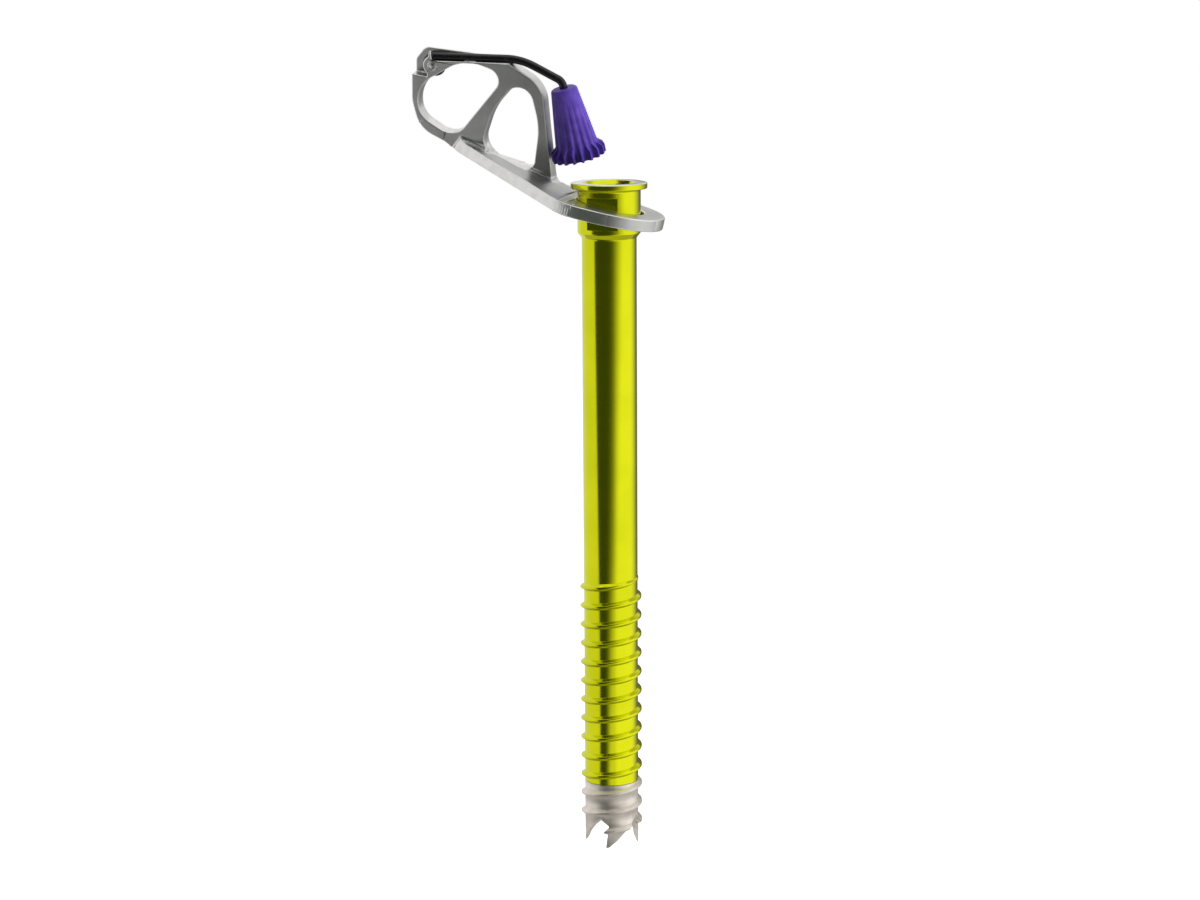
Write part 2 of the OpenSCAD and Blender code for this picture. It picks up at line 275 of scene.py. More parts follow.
def fuse(base: bpy.types.Object, tool: bpy.types.Object, how: Fuse) -> bpy.types.Object:
    """Joins, cuts or intersects two solids, and removes the second.

    Args:
        base: Solid that is changed.
        tool: Solid that it is changed with.
        how: What is done.

    Returns:
        The changed solid.
    """
    change = base.modifiers.new("change", "BOOLEAN")
    change.operation = how.value
    change.object = tool
    change.solver = "MANIFOLD"
    bake(base)
    bpy.data.objects.remove(tool)
    if not base.data.polygons:
        LOG.warning("%s: nothing is left after %s", base.name, how.name)
    return base


def weld(piece: bpy.types.Object, gap: float = 1e-4) -> None:
    """Joins the points of a swept mesh that touch, and turns its faces outward.

    Args:
        piece: The piece.
        gap: Greatest distance that is closed, in millimetres.
    """
    work = bmesh.new()
    work.from_mesh(piece.data)
    bmesh.ops.remove_doubles(work, verts=work.verts, dist=gap)
    bmesh.ops.recalc_face_normals(work, faces=work.faces)
    work.to_mesh(piece.data)
    work.free()


def frail_corners(
    work: bmesh.types.BMesh, sharp: Sequence[bmesh.types.BMEdge]
) -> set[bmesh.types.BMVert]:
    """Corners on slivers, on short edges and at acute angles, where a rounding would fold.

    Args:
        work: Mesh of the solid.
        sharp: Edges that are to be rounded.

    Returns:
        The corners.
    """
    thin, short, acute = 0.01, 0.03, 0.8
    frail = {v for f in work.faces if f.calc_area() < thin * f.calc_perimeter() for v in f.verts}
    frail |= {v for e in work.edges if e.calc_length() < short for v in e.verts}
    wanted = set(sharp)
    for vert in work.verts:
        for face in vert.link_faces:
            pair = [e for e in vert.link_edges if e in wanted and face in e.link_faces]
            if len(pair) == 2:
                ways = [(e.other_vert(vert).co - vert.co).normalized() for e in pair]
                if ways[0].dot(ways[1]) > acute:
                    frail.add(vert)
    return frail


def mark_edges(work: bmesh.types.BMesh, angle: float, width: float) -> None:
    """Marks the edges that are rounded, and stops short of the frail corners.

    Args:
        work: Mesh of the solid.
        angle: Least angle between two faces that is rounded, in radians.
        width: Width of the rounding in millimetres.
    """
    weight = work.edges.layers.float.new("bevel_weight_edge")
    sharp = [e for e in work.edges if len(e.link_faces) == 2 and e.calc_face_angle() > angle]
    frail = frail_corners(work, sharp)
    pause, least = 1.5 * width, 4 * width
    for edge in sharp:
        ends = [v for v in edge.verts if v in frail]
        if ends and edge.calc_length() <= least * len(ends):
            continue
        for end in ends:
            part, _ = bmesh.utils.edge_split(edge, end, pause / edge.calc_length())
            edge = edge if end in part.verts else part
        edge[weight] = 1.0


def soften(
    piece: bpy.types.Object, width: float, angle: float = 30.0, slot: int = -1, segments: int = 3
) -> bpy.types.Object:
    """Rounds the sharp edges of a solid and shades it smooth.

    Args:
        piece: The solid, still in millimetres.
        width: Width of the rounding in millimetres.
        angle: Least angle between two faces that is rounded, in degrees.
        slot: Material slot of the rounded edges, or -1 for that of the faces.
        segments: Steps across the rounding.

    Returns:
        The piece as a plain mesh.
    """
    gap, flat = 0.001, math.radians(0.4)
    work = bmesh.new()
    work.from_mesh(piece.data)
    bmesh.ops.triangulate(work, faces=work.faces)
    bmesh.ops.remove_doubles(work, verts=work.verts, dist=gap)
    bmesh.ops.dissolve_degenerate(work, edges=work.edges, dist=gap)
    bmesh.ops.dissolve_limit(work, angle_limit=flat, verts=work.verts, edges=work.edges)
    for face in work.faces:
        face.smooth = True
    mark_edges(work, math.radians(angle), width)
    bmesh.ops.triangulate(work, faces=work.faces)
    work.to_mesh(piece.data)
    work.free()
    edge = piece.modifiers.new("edges", "BEVEL")
    edge.width = width
    edge.segments = segments
    edge.limit_method = "WEIGHT"
    edge.use_clamp_overlap = False
    edge.loop_slide = False
    edge.harden_normals = True
    edge.miter_outer = "MITER_ARC"
    edge.material = slot
    return bake(piece)


def to_metres(piece: bpy.types.Object) -> bpy.types.Object:
    """Scales a finished mesh from millimetres to metres.

    Args:
        piece: The piece in millimetres.

    Returns:
        The same piece in metres.
    """
    piece.data.transform(Matrix.Scale(MM, 4))
    piece.data.update()
    return piece


# Geometry Nodes


class NodeTree:
    """A Geometry Nodes tree with named inputs, put on one piece and then baked."""

    def __init__(self, name: str, inputs: dict[str, str]) -> None:
        """Makes the tree.

        Args:
            name: Name of the tree.
            inputs: Names of the inputs and their socket types.
        """
        self.tree = bpy.data.node_groups.new(name, "GeometryNodeTree")
        face = self.tree.interface
        face.new_socket("Geometry", in_out="INPUT", socket_type="NodeSocketGeometry")
        for label, kind in inputs.items():
            face.new_socket(label, in_out="INPUT", socket_type=kind)
        face.new_socket("Geometry", in_out="OUTPUT", socket_type="NodeSocketGeometry")
        self.source = self.tree.nodes.new("NodeGroupInput")

    def add(self, kind: str, settings: dict | None = None, **inputs: object) -> bpy.types.Node:
        """Adds a node.

        Args:
            kind: Type of the node.
            settings: Properties of the node.
            inputs: Sockets or values, by socket name with _ for a space.

        Returns:
            The node.
        """
        node = self.tree.nodes.new(kind)
        for key, value in (settings or {}).items():
            setattr(node, key, value)
        for key, value in inputs.items():
            socket = node.inputs[key.replace("_", " ")]
            if isinstance(value, bpy.types.NodeSocket):
                self.tree.links.new(value, socket)
            else:
                socket.default_value = value
        return node

    def close(self, shape: bpy.types.NodeSocket) -> None:
        """Ends the tree in Realize Instances and Set Material.

        Args:
            shape: Socket of the geometry that comes out.
        """
        real = self.add("GeometryNodeRealizeInstances", Geometry=shape)
        dressed = self.add(
            "GeometryNodeSetMaterial",
            Geometry=real.outputs[0],
            Material=self.source.outputs["Finish"],
        )
        end = self.tree.nodes.new("NodeGroupOutput")
        self.tree.links.new(dressed.outputs[0], end.inputs[0])

    def apply(self, piece: bpy.types.Object, values: dict[str, object]) -> bpy.types.Object:
        """Puts the tree on a piece, sets its inputs and bakes the piece.

        Args:
            piece: The piece whose mesh goes in.
            values: Values of the named inputs.

        Returns:
            The piece as a plain mesh.
        """
        modifier = piece.modifiers.new(self.tree.name, "NODES")
        modifier.node_group = self.tree
        for item in self.tree.interface.items_tree:
            if item.in_out == "INPUT" and item.name in values:
                modifier[item.identifier] = values[item.name]
        return bake(piece)


def sweep_tree(facing: Facing) -> NodeTree:
    """Tree that sweeps a closed section along the piece's own line.

    Args:
        facing: How the section keeps its direction.

    Returns:
        The tree, whose inputs are Section and Finish.
    """
    made = NodeTree(
        f"sweep_{facing.name.lower()}",
        {"Section": "NodeSocketObject", "Finish": "NodeSocketMaterial"},
    )
    line = made.add("GeometryNodeMeshToCurve", Mesh=made.source.outputs["Geometry"])
    turned = made.add(
        "GeometryNodeSetCurveNormal", {"mode": facing.value}, Curve=line.outputs[0]
    )
    section = made.add("GeometryNodeObjectInfo", Object=made.source.outputs["Section"])
    loop = made.add("GeometryNodeMeshToCurve", Mesh=section.outputs["Geometry"])
    grow = made.add("GeometryNodeInputNamedAttribute", {"data_type": "FLOAT"}, Name="grow")
    swept = made.add(
        "GeometryNodeCurveToMesh",
        Curve=turned.outputs[0],
        Profile_Curve=loop.outputs[0],
        Scale=grow.outputs["Attribute"],
        Fill_Caps=True,
    )
    made.close(swept.outputs[0])
    return made


def ring_tree() -> NodeTree:
    """Tree that repeats the piece round Z.

    Returns:
        The tree, whose inputs are Count, Weld and Finish.
    """
    made = NodeTree(
        "repeat_round_axis",
        {"Count": "NodeSocketInt", "Weld": "NodeSocketFloat", "Finish": "NodeSocketMaterial"},
    )
    count = made.source.outputs["Count"]
    points = made.add("GeometryNodePoints", Count=count)
    index = made.add("GeometryNodeInputIndex")
    share = made.add("ShaderNodeMath", {"operation": "DIVIDE"})
    made.tree.links.new(index.outputs[0], share.inputs[0])
    made.tree.links.new(count, share.inputs[1])
    angle = made.add("ShaderNodeMath", {"operation": "MULTIPLY"})
    made.tree.links.new(share.outputs[0], angle.inputs[0])
    angle.inputs[1].default_value = 2 * math.pi
    euler = made.add("ShaderNodeCombineXYZ", Z=angle.outputs[0])
    spin = made.add("FunctionNodeEulerToRotation", Euler=euler.outputs[0])
    copies = made.add(
        "GeometryNodeInstanceOnPoints",
        Points=points.outputs[0],
        Instance=made.source.outputs["Geometry"],
        Rotation=spin.outputs[0],
    )
    real = made.add("GeometryNodeRealizeInstances", Geometry=copies.outputs[0])
    welded = made.add(
        "GeometryNodeMergeByDistance",
        Geometry=real.outputs[0],
        Distance=made.source.outputs["Weld"],
    )
    made.close(welded.outputs[0])
    return made


def line_object(
    name: str, points: np.ndarray, grow: np.ndarray | None = None, loop: bool = False
) -> bpy.types.Object:
    """Object whose mesh is a line of edges.

    Args:
        name: Name of the object.
        points: Points of the line in millimetres.
        grow: Scale of the section at each point.
        loop: Whether the line is closed.

    Returns:
        The object.
    """
    mesh = bpy.data.meshes.new(name)
    count = len(points)
    edges = [(i, i + 1) for i in range(count - 1)] + ([(count - 1, 0)] if loop else [])
    mesh.from_pydata([tuple(map(float, p)) for p in points], edges, [])
    scale = mesh.attributes.new("grow", "FLOAT", "POINT")
    scale.data.foreach_set("value", np.ones(count) if grow is None else grow)
    made = bpy.data.objects.new(name, mesh)
    bpy.context.scene.collection.objects.link(made)
    return made


# Shader nodes


class Value:
    """A shader socket that can be used in sums like a number."""

    def __init__(self, tree: bpy.types.NodeTree, socket: bpy.types.NodeSocket) -> None:
        """Wraps a socket of a tree."""
        self.tree = tree
        self.socket = socket

    def _math(self, kind: str, *terms: "Value | float") -> "Value":
        """Adds a Math node.

        Args:
            kind: Operation of the node.
            terms: What it works on.

        Returns:
            The result.
        """
        node = self.tree.nodes.new("ShaderNodeMath")
        node.operation = kind
        for slot, term in zip(node.inputs, terms):
            if isinstance(term, Value):
                self.tree.links.new(term.socket, slot)
            else:
                slot.default_value = float(term)
        return Value(self.tree, node.outputs[0])

    def __add__(self, other: "Value | float") -> "Value":
        """Sum."""
        return self._math("ADD", self, other)

    def __radd__(self, other: float) -> "Value":
        """Sum, reflected."""
        return self._math("ADD", other, self)

    def __sub__(self, other: "Value | float") -> "Value":
        """Difference."""
        return self._math("SUBTRACT", self, other)

    def __rsub__(self, other: float) -> "Value":
        """Difference, reflected."""
        return self._math("SUBTRACT", other, self)

    def __mul__(self, other: "Value | float") -> "Value":
        """Product."""
        return self._math("MULTIPLY", self, other)

    def __rmul__(self, other: float) -> "Value":
        """Product, reflected."""
        return self._math("MULTIPLY", other, self)

    def __truediv__(self, other: "Value | float") -> "Value":
        """Quotient."""
        return self._math("DIVIDE", self, other)

    def __rtruediv__(self, other: float) -> "Value":
        """Quotient, reflected."""
        return self._math("DIVIDE", other, self)

    def most(self, other: "Value | float") -> "Value":
        """The larger of two values."""
        return self._math("MAXIMUM", self, other)

    def root(self) -> "Value":
        """Square root."""
        return self._math("SQRT", self)

    def ramp(self, low: float, high: float) -> "Value":
        """Smooth step from 0 at low to 1 at high.

        Args:
            low: Value where the step starts.
            high: Value where the step ends.

        Returns:
            The step.
        """
        node = self.tree.nodes.new("ShaderNodeMapRange")
        node.interpolation_type = "SMOOTHSTEP"
        self.tree.links.new(self.socket, node.inputs["Value"])
        node.inputs["From Min"].default_value = low
        node.inputs["From Max"].default_value = high
        return Value(self.tree, node.outputs["Result"])


Colour = tuple[float, float, float]


class Surface:
    """Nodes of one material, with its Object coordinates at hand."""

    def __init__(self, name: str) -> None:
        """Makes the material with one Principled shader.

        Args:
            name: Name of the material.
        """
        self.material = bpy.data.materials.new(name)
        self.material.use_nodes = True
        self.tree = self.material.node_tree
        self.shader = self.tree.nodes["Principled BSDF"]
        self.place = self.add("ShaderNodeTexCoord").outputs["Object"]
        parts = self.add("ShaderNodeSeparateXYZ", Vector=self.place)
        self.x, self.y, self.z = (Value(self.tree, s) for s in parts.outputs)

    def add(self, kind: str, settings: dict | None = None, **inputs: object) -> bpy.types.Node:
        """Adds a node.

        Args:
            kind: Type of the node.
            settings: Properties of the node.
            inputs: Sockets, values or sums, by socket name with _ for a space.

        Returns:
            The node.
        """
        node = self.tree.nodes.new(kind)
        for key, value in (settings or {}).items():
            setattr(node, key, value)
        for key, value in inputs.items():
            self.join(value, node.inputs[key.replace("_", " ")])
        return node

    def join(self, value: object, socket: bpy.types.NodeSocket) -> None:
        """Links a socket or a sum to a socket, or sets its value.

        Args:
            value: Sum, socket, colour or number.
            socket: Socket that gets it.
        """
        if isinstance(value, Value):
            self.tree.links.new(value.socket, socket)
        elif isinstance(value, bpy.types.NodeSocket):
            self.tree.links.new(value, socket)
        elif isinstance(value, tuple) and len(value) == 3 and socket.type == "RGBA":
            socket.default_value = (*value, 1.0)
        else:
            socket.default_value = value

    def noise(self, scale: float, detail: float = 2.0, stretch: Colour = (1, 1, 1)) -> Value:
        """Noise on the Object coordinates.

        Args:
            scale: Number of spots in a metre.
            detail: Number of finer layers.
            stretch: Scale along each axis.

        Returns:
            The noise, from 0 to 1.
        """
        spot = self.add("ShaderNodeVectorMath", {"operation": "MULTIPLY"})
        self.tree.links.new(self.place, spot.inputs[0])
        spot.inputs[1].default_value = stretch
        node = self.add("ShaderNodeTexNoise", Vector=spot.outputs[0], Scale=scale, Detail=detail)
        return Value(self.tree, node.outputs["Fac"])

    def mix(self, share: Value, first: object, second: object) -> bpy.types.NodeSocket:
        """Mixes two colours.

        Args:
            share: Share of the second colour.
            first: Colour or socket at 0.
            second: Colour or socket at 1.

        Returns:
            The mixed colour's socket.
        """
        node = self.add("ShaderNodeMix", {"data_type": "RGBA"})
        self.join(share, node.inputs[0])
        self.join(first, node.inputs[6])
        self.join(second, node.inputs[7])
        return node.outputs[2]

    def bump(self, height: Value, strength: float, depth: float) -> None:
        """Puts a bump of some millimetres on the shader's Normal.

        Args:
            height: Height from 0 to 1.
            strength: Strength of the bump.
            depth: Depth of the bump in millimetres.
        """
        node = self.add("ShaderNodeBump", Height=height, Strength=strength, Distance=depth * MM)
        self.tree.links.new(node.outputs[0], self.shader.inputs["Normal"])

    def set(self, **inputs: object) -> None:
        """Sets or links inputs of the shader, by name with _ for a space."""
        for key, value in inputs.items():
            self.join(value, self.shader.inputs[key.replace("_", " ")])


@dataclass(frozen=True)
class AnodisedTube:
    """Lime anodised aluminium, turned, with a bare rim at the flange's top."""

    colour: Colour = (0.80, 0.83, 0.012)
    deep: Colour = (0.72, 0.76, 0.010)
    bare: Colour = (0.86, 0.86, 0.84)
    rim_z: float = 16.93
    rim_r: float = 8.3

    def build(self) -> bpy.types.Material:
        """Builds the material.

        Returns:
            The material.
        """
        face = Surface("lime_anodised")
        cloud = face.noise(60.0, 3.0)
        lines = face.noise(900.0, 2.0, (0.05, 0.05, 1.0))
        fine = face.noise(5200.0, 1.0, (0.04, 0.04, 1.0))
        lime = face.mix(cloud.ramp(0.3, 0.7), self.colour, self.deep)
        radius = (face.x * face.x + face.y * face.y).root()
        rim = face.z.ramp((self.rim_z - 0.06) * MM, self.rim_z * MM) * radius.ramp(
            self.rim_r * MM, (self.rim_r + 0.1) * MM
        )
        face.set(
            Base_Color=face.mix(rim, lime, self.bare),
            Metallic=1.0,
            Roughness=0.11 + lines * 0.05 + cloud * 0.04,
        )
        face.bump(lines * 0.4 + fine * 0.6, 0.12, 0.003)
        return face.material


@dataclass(frozen=True)
class SatinHanger:
    """Fine-grained satin aluminium of the hanger's faces."""

    colour: Colour = (0.46, 0.46, 0.45)
    pale: Colour = (0.66, 0.66, 0.64)

    def build(self) -> bpy.types.Material:
        """Builds the material.

        Returns:
            The material.
        """
        face = Surface("hanger_satin")
        grain = face.noise(5200.0, 3.0)
        cloud = face.noise(90.0, 3.0)
        scuff = face.noise(700.0, 4.0, (0.25, 0.6, 1.0))
        share = (cloud * 0.5 + grain * 0.5).ramp(0.35, 0.68)
        face.set(
            Base_Color=face.mix(share, self.colour, self.pale),
            Metallic=1.0,
            Roughness=0.28 + grain * 0.12 + scuff * 0.08,
        )
        face.bump(grain * 0.75 + scuff * 0.25, 0.35, 0.014)
        return face.material


@dataclass(frozen=True)
class TumbledEdge:
    """Bright tumbled aluminium of the hanger's edges and its cut sides."""

    colour: Colour = (0.92, 0.915, 0.90)
    dull: Colour = (0.84, 0.835, 0.82)

    def build(self) -> bpy.types.Material:
        """Builds the material.

        Returns:
            The material.
        """
        face = Surface("hanger_edge")
        wear = face.noise(420.0, 4.0)
        grain = face.noise(3000.0, 2.0)
        face.set(
            Base_Color=face.mix(wear.ramp(0.4, 0.65), self.colour, self.dull),
            Metallic=1.0,
            Roughness=0.3 + wear * 0.08,
        )
        face.bump(wear * 0.6 + grain * 0.4, 0.2, 0.012)
        return face.material


@dataclass(frozen=True)
class TurnedSteel:
    """Bare satin steel of the cutting head, a little warm."""

    colour: Colour = (0.97, 0.90, 0.81)
    dark: Colour = (0.84, 0.77, 0.69)

    def build(self) -> bpy.types.Material:
        """Builds the material.

        Returns:
            The material.
        """
        face = Surface("cutting_steel")
        cloud = face.noise(260.0, 4.0)
        lines = face.noise(1400.0, 2.0, (0.08, 0.08, 1.0))
        grain = face.noise(6000.0, 2.0)
        share = (cloud * 0.6 + lines * 0.4).ramp(0.38, 0.68)
        face.set(
            Base_Color=face.mix(share, self.colour, self.dark),
            Metallic=1.0,
            Roughness=0.36 + cloud * 0.14 + lines * 0.06,
        )
        face.bump(lines * 0.5 + grain * 0.5, 0.3, 0.015)
        return face.material


@dataclass(frozen=True)
class BrightSteel:
    """Plain bright steel of the rivet, the washer and the clip."""

    colour: Colour = (0.72, 0.71, 0.69)
    dark: Colour = (0.45, 0.44, 0.43)

    def build(self) -> bpy.types.Material:
        """Builds the material.

        Returns:
            The material.
        """
        face = Surface("bright_steel")
        cloud = face.noise(900.0, 4.0)
        grain = face.noise(7000.0, 2.0)
        face.set(
            Base_Color=face.mix(cloud.ramp(0.4, 0.7), self.colour, self.dark),
            Metallic=1.0,
            Roughness=0.2 + cloud * 0.18,
        )
        face.bump(grain, 0.2, 0.01)
        return face.material


@dataclass(frozen=True)
class BlackWire:
    """Black coated steel wire, half glossy and slightly rubbed."""

    colour: Colour = (0.006, 0.006, 0.007)
    rubbed: Colour = (0.022, 0.021, 0.020)

    def build(self) -> bpy.types.Material:
        """Builds the material.

        Returns:
            The material.
        """
        face = Surface("black_wire")
        wear = face.noise(600.0, 4.0)
        grain = face.noise(4200.0, 3.0)
        face.set(
            Base_Color=face.mix(wear.ramp(0.52, 0.72), self.colour, self.rubbed),
            Roughness=0.2 + wear * 0.12,
        )
        face.bump(grain * 0.7 + wear * 0.3, 0.15, 0.01)
        return face.material


@dataclass(frozen=True)
class PurplePlastic:
    """Moulded purple plastic with a fine spark-eroded grain."""

    colour: Colour = (0.098, 0.055, 0.355)
    deep: Colour = (0.066, 0.034, 0.26)

    def build(self) -> bpy.types.Material:
        """Builds the material.

        Returns:
            The material.
        """
        face = Surface("purple_plastic")
        cloud = face.noise(300.0, 3.0)
        grain = face.noise(4600.0, 3.0)
        face.set(
            Base_Color=face.mix(cloud.ramp(0.35, 0.7), self.colour, self.deep),
            Roughness=0.36 + grain * 0.16,
            Specular_IOR_Level=0.22,
        )
        face.bump(grain, 0.3, 0.02)
        return face.material


@dataclass
class Finishes:
    """Every material of the object, built once."""

    tube: bpy.types.Material = field(default_factory=lambda: AnodisedTube().build())
    satin: bpy.types.Material = field(default_factory=lambda: SatinHanger().build())
    edge: bpy.types.Material = field(default_factory=lambda: TumbledEdge().build())
    cutter: bpy.types.Material = field(default_factory=lambda: TurnedSteel().build())
    bright: bpy.types.Material = field(default_factory=lambda: BrightSteel().build())
    wire: bpy.types.Material = field(default_factory=lambda: BlackWire().build())
    knob: bpy.types.Material = field(default_factory=lambda: PurplePlastic().build())


def dress(
    piece: bpy.types.Object,
    materials: Iterable[bpy.types.Material],
    body: str,
    slot: str,
    *nodes: str,
) -> bpy.types.Object:
    """Gives a finished piece its materials and its place in the frame.

    Args:
        piece: The piece, in metres.
        materials: Materials of its slots.
        body: CAD body that it moves with.
        slot: Not used.
        nodes: CAD nodes that it stands for.

    Returns:
        The piece.
    """
    wanted = list(materials)
    for i, material in enumerate(wanted):
        if i < len(piece.data.materials):
            piece.data.materials[i] = material
        else:
            piece.data.materials.append(material)
    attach(piece, body)
    if nodes:
        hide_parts(*nodes)
    LOG.info("%s: %d faces on %s", piece.name, len(piece.data.polygons), body)
    return piece


# Sub-assemblies


@dataclass
class Screw:
    """The threaded tube and the steel cutting head bonded in its end."""

    tube_r: float = 8.5
    bore_r: float = 6.9
    shank_len: float = 194.2
    head_r: float = 9.8
    head_len: float = 17.0
    head_cone: float = 1.6
    flange_r: float = 11.85
    flange_t: float = 1.8
    flange_cove: float = 0.9
    mouth_r: float = 7.95
    mouth_slope: float = 1.4
    flats_across: float = 17.0
    flats_len: float = 9.8
    flats_z: float = 7.9
    pitch: float = 6.12
    thread_r: float = 9.7
    ridge_foot: float = 2.4
    ridge_crest: float = 0.7
    ridge_sink: float = 0.45
    thread_phase: float = 57.0
    thread_top: float = 87.5
    thread_low: float = 5.2
    steel_len: float = 20.6
    spigot_len: float = 9.0
    spigot_r: float = 7.65
    socket_r: float = 7.69
    gullet_depth: float = 9.7
    tooth_turn: float = 4.0
    teeth: int = 4
    turn_steps: int = 96

    @property
    def tip_z(self) -> float:
        """Height of the tooth tips."""
        return -self.shank_len

    @property
    def steel_z(self) -> float:
        """Height of the joint between aluminium and steel."""
        return self.tip_z + self.steel_len

    @property
    def thread_z(self) -> float:
        """Height of the thread's start."""
        return self.tip_z + self.thread_top

    def _ridge(self, name: str, low: float, high: float) -> bpy.types.Object:
        """Ridge of the thread between two heights, as a sweep along its helix.

        Args:
            name: Name of the solid.
            low: Lower end.
            high: Upper end.

        Returns:
            The solid.
        """
        turns = (high - low) / self.pitch
        count = math.ceil(turns * self.turn_steps) + 1
        z = np.linspace(low, high, count)
        angle = 2 * math.pi * (z - self.thread_z) / self.pitch + math.radians(self.thread_phase)
        base = self.tube_r - self.ridge_sink
        path = np.stack([base * np.cos(angle), base * np.sin(angle), z], axis=1)
        fade = np.clip((self.thread_z - z) / (0.45 * self.pitch), 0.05, 1.0)
        grow = np.sin(fade * math.pi / 2)
        rise = self.thread_r - base
        foot, crest = self.ridge_foot / 2, self.ridge_crest / 2
        side = [(0.0, foot + 0.25), (self.ridge_sink * 0.98, foot + 0.1)]
        side += corner(
            (0.0, foot + 0.45), (self.ridge_sink + 0.03, foot - 0.12), (rise, crest), 0.5, 4
        )
        side += corner((self.ridge_sink, foot - 0.1), (rise, crest), (rise, -crest), 0.3, 4)
        section = [(x, y) for x, y in side] + [(x, -y) for x, y in reversed(side)]
        loop = line_object("ridge_section", np.array([(x, y, 0.0) for x, y in section]), loop=True)
        piece = line_object(name, path, grow)
        sweep_tree(Facing.UPRIGHT).apply(piece, {"Section": loop, "Finish": None})
        bpy.data.objects.remove(loop)
        weld(piece)
        return piece

    def _barrel(self) -> bpy.types.Object:
        """Tube with its head, flange, bore and socket, turned round its axis.

        Returns:
            The solid.
        """
        flange_z = self.head_len - self.flange_t
        inner, outer, top = self.head_r, self.flange_r, self.head_len
        mouth_z = top - self.mouth_slope * (self.mouth_r - self.bore_r)
        foot_cone = (self.tube_r, 0.0)
        profile: list[Point2] = [(self.socket_r, self.steel_z), (self.tube_r - 0.08, self.steel_z)]
        profile += [(self.tube_r, self.steel_z + 0.08)]
        profile += corner((self.tube_r, -20.0), foot_cone, (inner, self.head_cone), 1.2, 6)
        profile += corner(foot_cone, (inner, self.head_cone), (inner, flange_z), 0.6, 6)
        profile += corner((inner, 5.0), (inner, flange_z), (outer, flange_z), self.flange_cove, 10)
        profile += corner((inner, flange_z), (outer, flange_z), (outer, top), 0.35, 6)
        profile += corner((outer, flange_z), (outer, top), (0.0, top), 0.35, 6)
        profile += corner((outer, top), (self.mouth_r, top), (self.bore_r, mouth_z), 0.2, 4)
        profile += corner((self.mouth_r, top), (self.bore_r, mouth_z), (self.bore_r, 0.0), 0.5, 4)
        end = self.steel_z + self.spigot_len + 0.04
        profile += [(self.bore_r, end), (self.socket_r, end)]
        return lathe("screw_tube_look", profile, 192)

    def build_tube(self, finishes: Finishes) -> bpy.types.Object:
        """Builds the aluminium tube.

        Args:
            finishes: Materials of the object.

        Returns:
            The finished piece.
        """
        tube = self._barrel()
        low, high = self.flats_z - self.flats_len / 2, self.flats_z + self.flats_len / 2
        outline = oblong(-20, low, 20, high)
        near, far = self.flats_across / 2, self.flats_across / 2 + self.head_r
        for start, stop in ((near, far), (-far, -near)):
            fuse(tube, prism("flat", outline, start, stop, turn(90, "X")), Fuse.CUT)
        soften(tube, 0.12, 32, segments=2)
        ridge = self._ridge("thread", self.steel_z - 2.0, self.thread_z)
        trim = prism("trim", oblong(-20, -20, 20, 20), -260, self.steel_z)
        fuse(ridge, trim, Fuse.CUT)
        core = prism("core", disc(self.tube_r - 0.4, 96), -260, -80)
        fuse(ridge, core, Fuse.CUT)
        smooth_by_angle(ridge, 40)
        join(tube, ridge)
        return dress(to_metres(tube), [finishes.tube], "tube", "tube", "screw_tube")

    def _gullet(self, index: int) -> bpy.types.Object:
        """Cutter of the gullet after one tooth.

        Args:
            index: Number of the tooth.

        Returns:
            The solid.
        """
        tip_x = self.tube_r * math.sin(math.radians(180 / self.teeth - 3))
        pocket = 1.4
        outline = rounded(
            [
                (-tip_x, -1, 0),
                (-tip_x, 0, 0),
                (tip_x - pocket, self.gullet_depth, pocket / 2),
                (tip_x + pocket / 2, self.gullet_depth - 1.6 * pocket, pocket),
                (tip_x, 0, 0),
                (tip_x, -1, 0),
            ],
            12,
        )
        angle = self.tooth_turn + 360 / self.teeth * (index + 0.5)
        where = turn(angle, "Z") @ place(0, 0, self.tip_z) @ turn(90, "Z") @ turn(90, "X")
        return prism("gullet", outline, 0.0, 17.0, where)

    def build_cutting_head(self, finishes: Finishes) -> bpy.types.Object:
        """Builds the steel cutting head.

        Args:
            finishes: Materials of the object.

        Returns:
            The finished piece.
        """
        joint, tip = self.steel_z, self.tip_z
        profile = [(self.bore_r, tip), (self.tube_r, tip), (self.tube_r, joint - 0.1)]
        profile += [(self.tube_r - 0.1, joint), (self.spigot_r, joint)]
        profile += [(self.spigot_r, joint + self.spigot_len - 0.3)]
        profile += [(self.spigot_r - 0.3, joint + self.spigot_len)]
        profile += [(self.bore_r, joint + self.spigot_len)]
        head = lathe("cutting_head_look", profile, 192)
        ridge = self._ridge("head_thread", tip + self.thread_low, joint + 2.0)
        trim = prism("trim", oblong(-20, -20, 20, 20), joint, joint + 30)
        fuse(ridge, trim, Fuse.CUT)
        fuse(head, ridge, Fuse.UNION)
        for i in range(self.teeth):
            fuse(head, self._gullet(i), Fuse.CUT)
        soften(head, 0.09, 38, segments=2)
        return dress(to_metres(head), [finishes.cutter], "tube", "cutting_steel", "cutting_head")


def smooth_by_angle(piece: bpy.types.Object, angle: float) -> None:
    """Shades a mesh smooth and keeps the edges above an angle sharp.

    Args:
        piece: The piece.
        angle: The angle in degrees.
    """
    for polygon in piece.data.polygons:
        polygon.use_smooth = True
    piece.data.set_sharp_from_angle(angle=math.radians(angle))


def join(base: bpy.types.Object, extra: bpy.types.Object) -> bpy.types.Object:
    """Adds the mesh of a second piece to the first, and removes the second.

    Args:
        base: Piece that keeps its name.
        extra: Piece that is added.

    Returns:
        The first piece.
    """
    with bpy.context.temp_override(
        active_object=base, object=base, selected_editable_objects=[base, extra]
    ):
        bpy.ops.object.join()
    return base


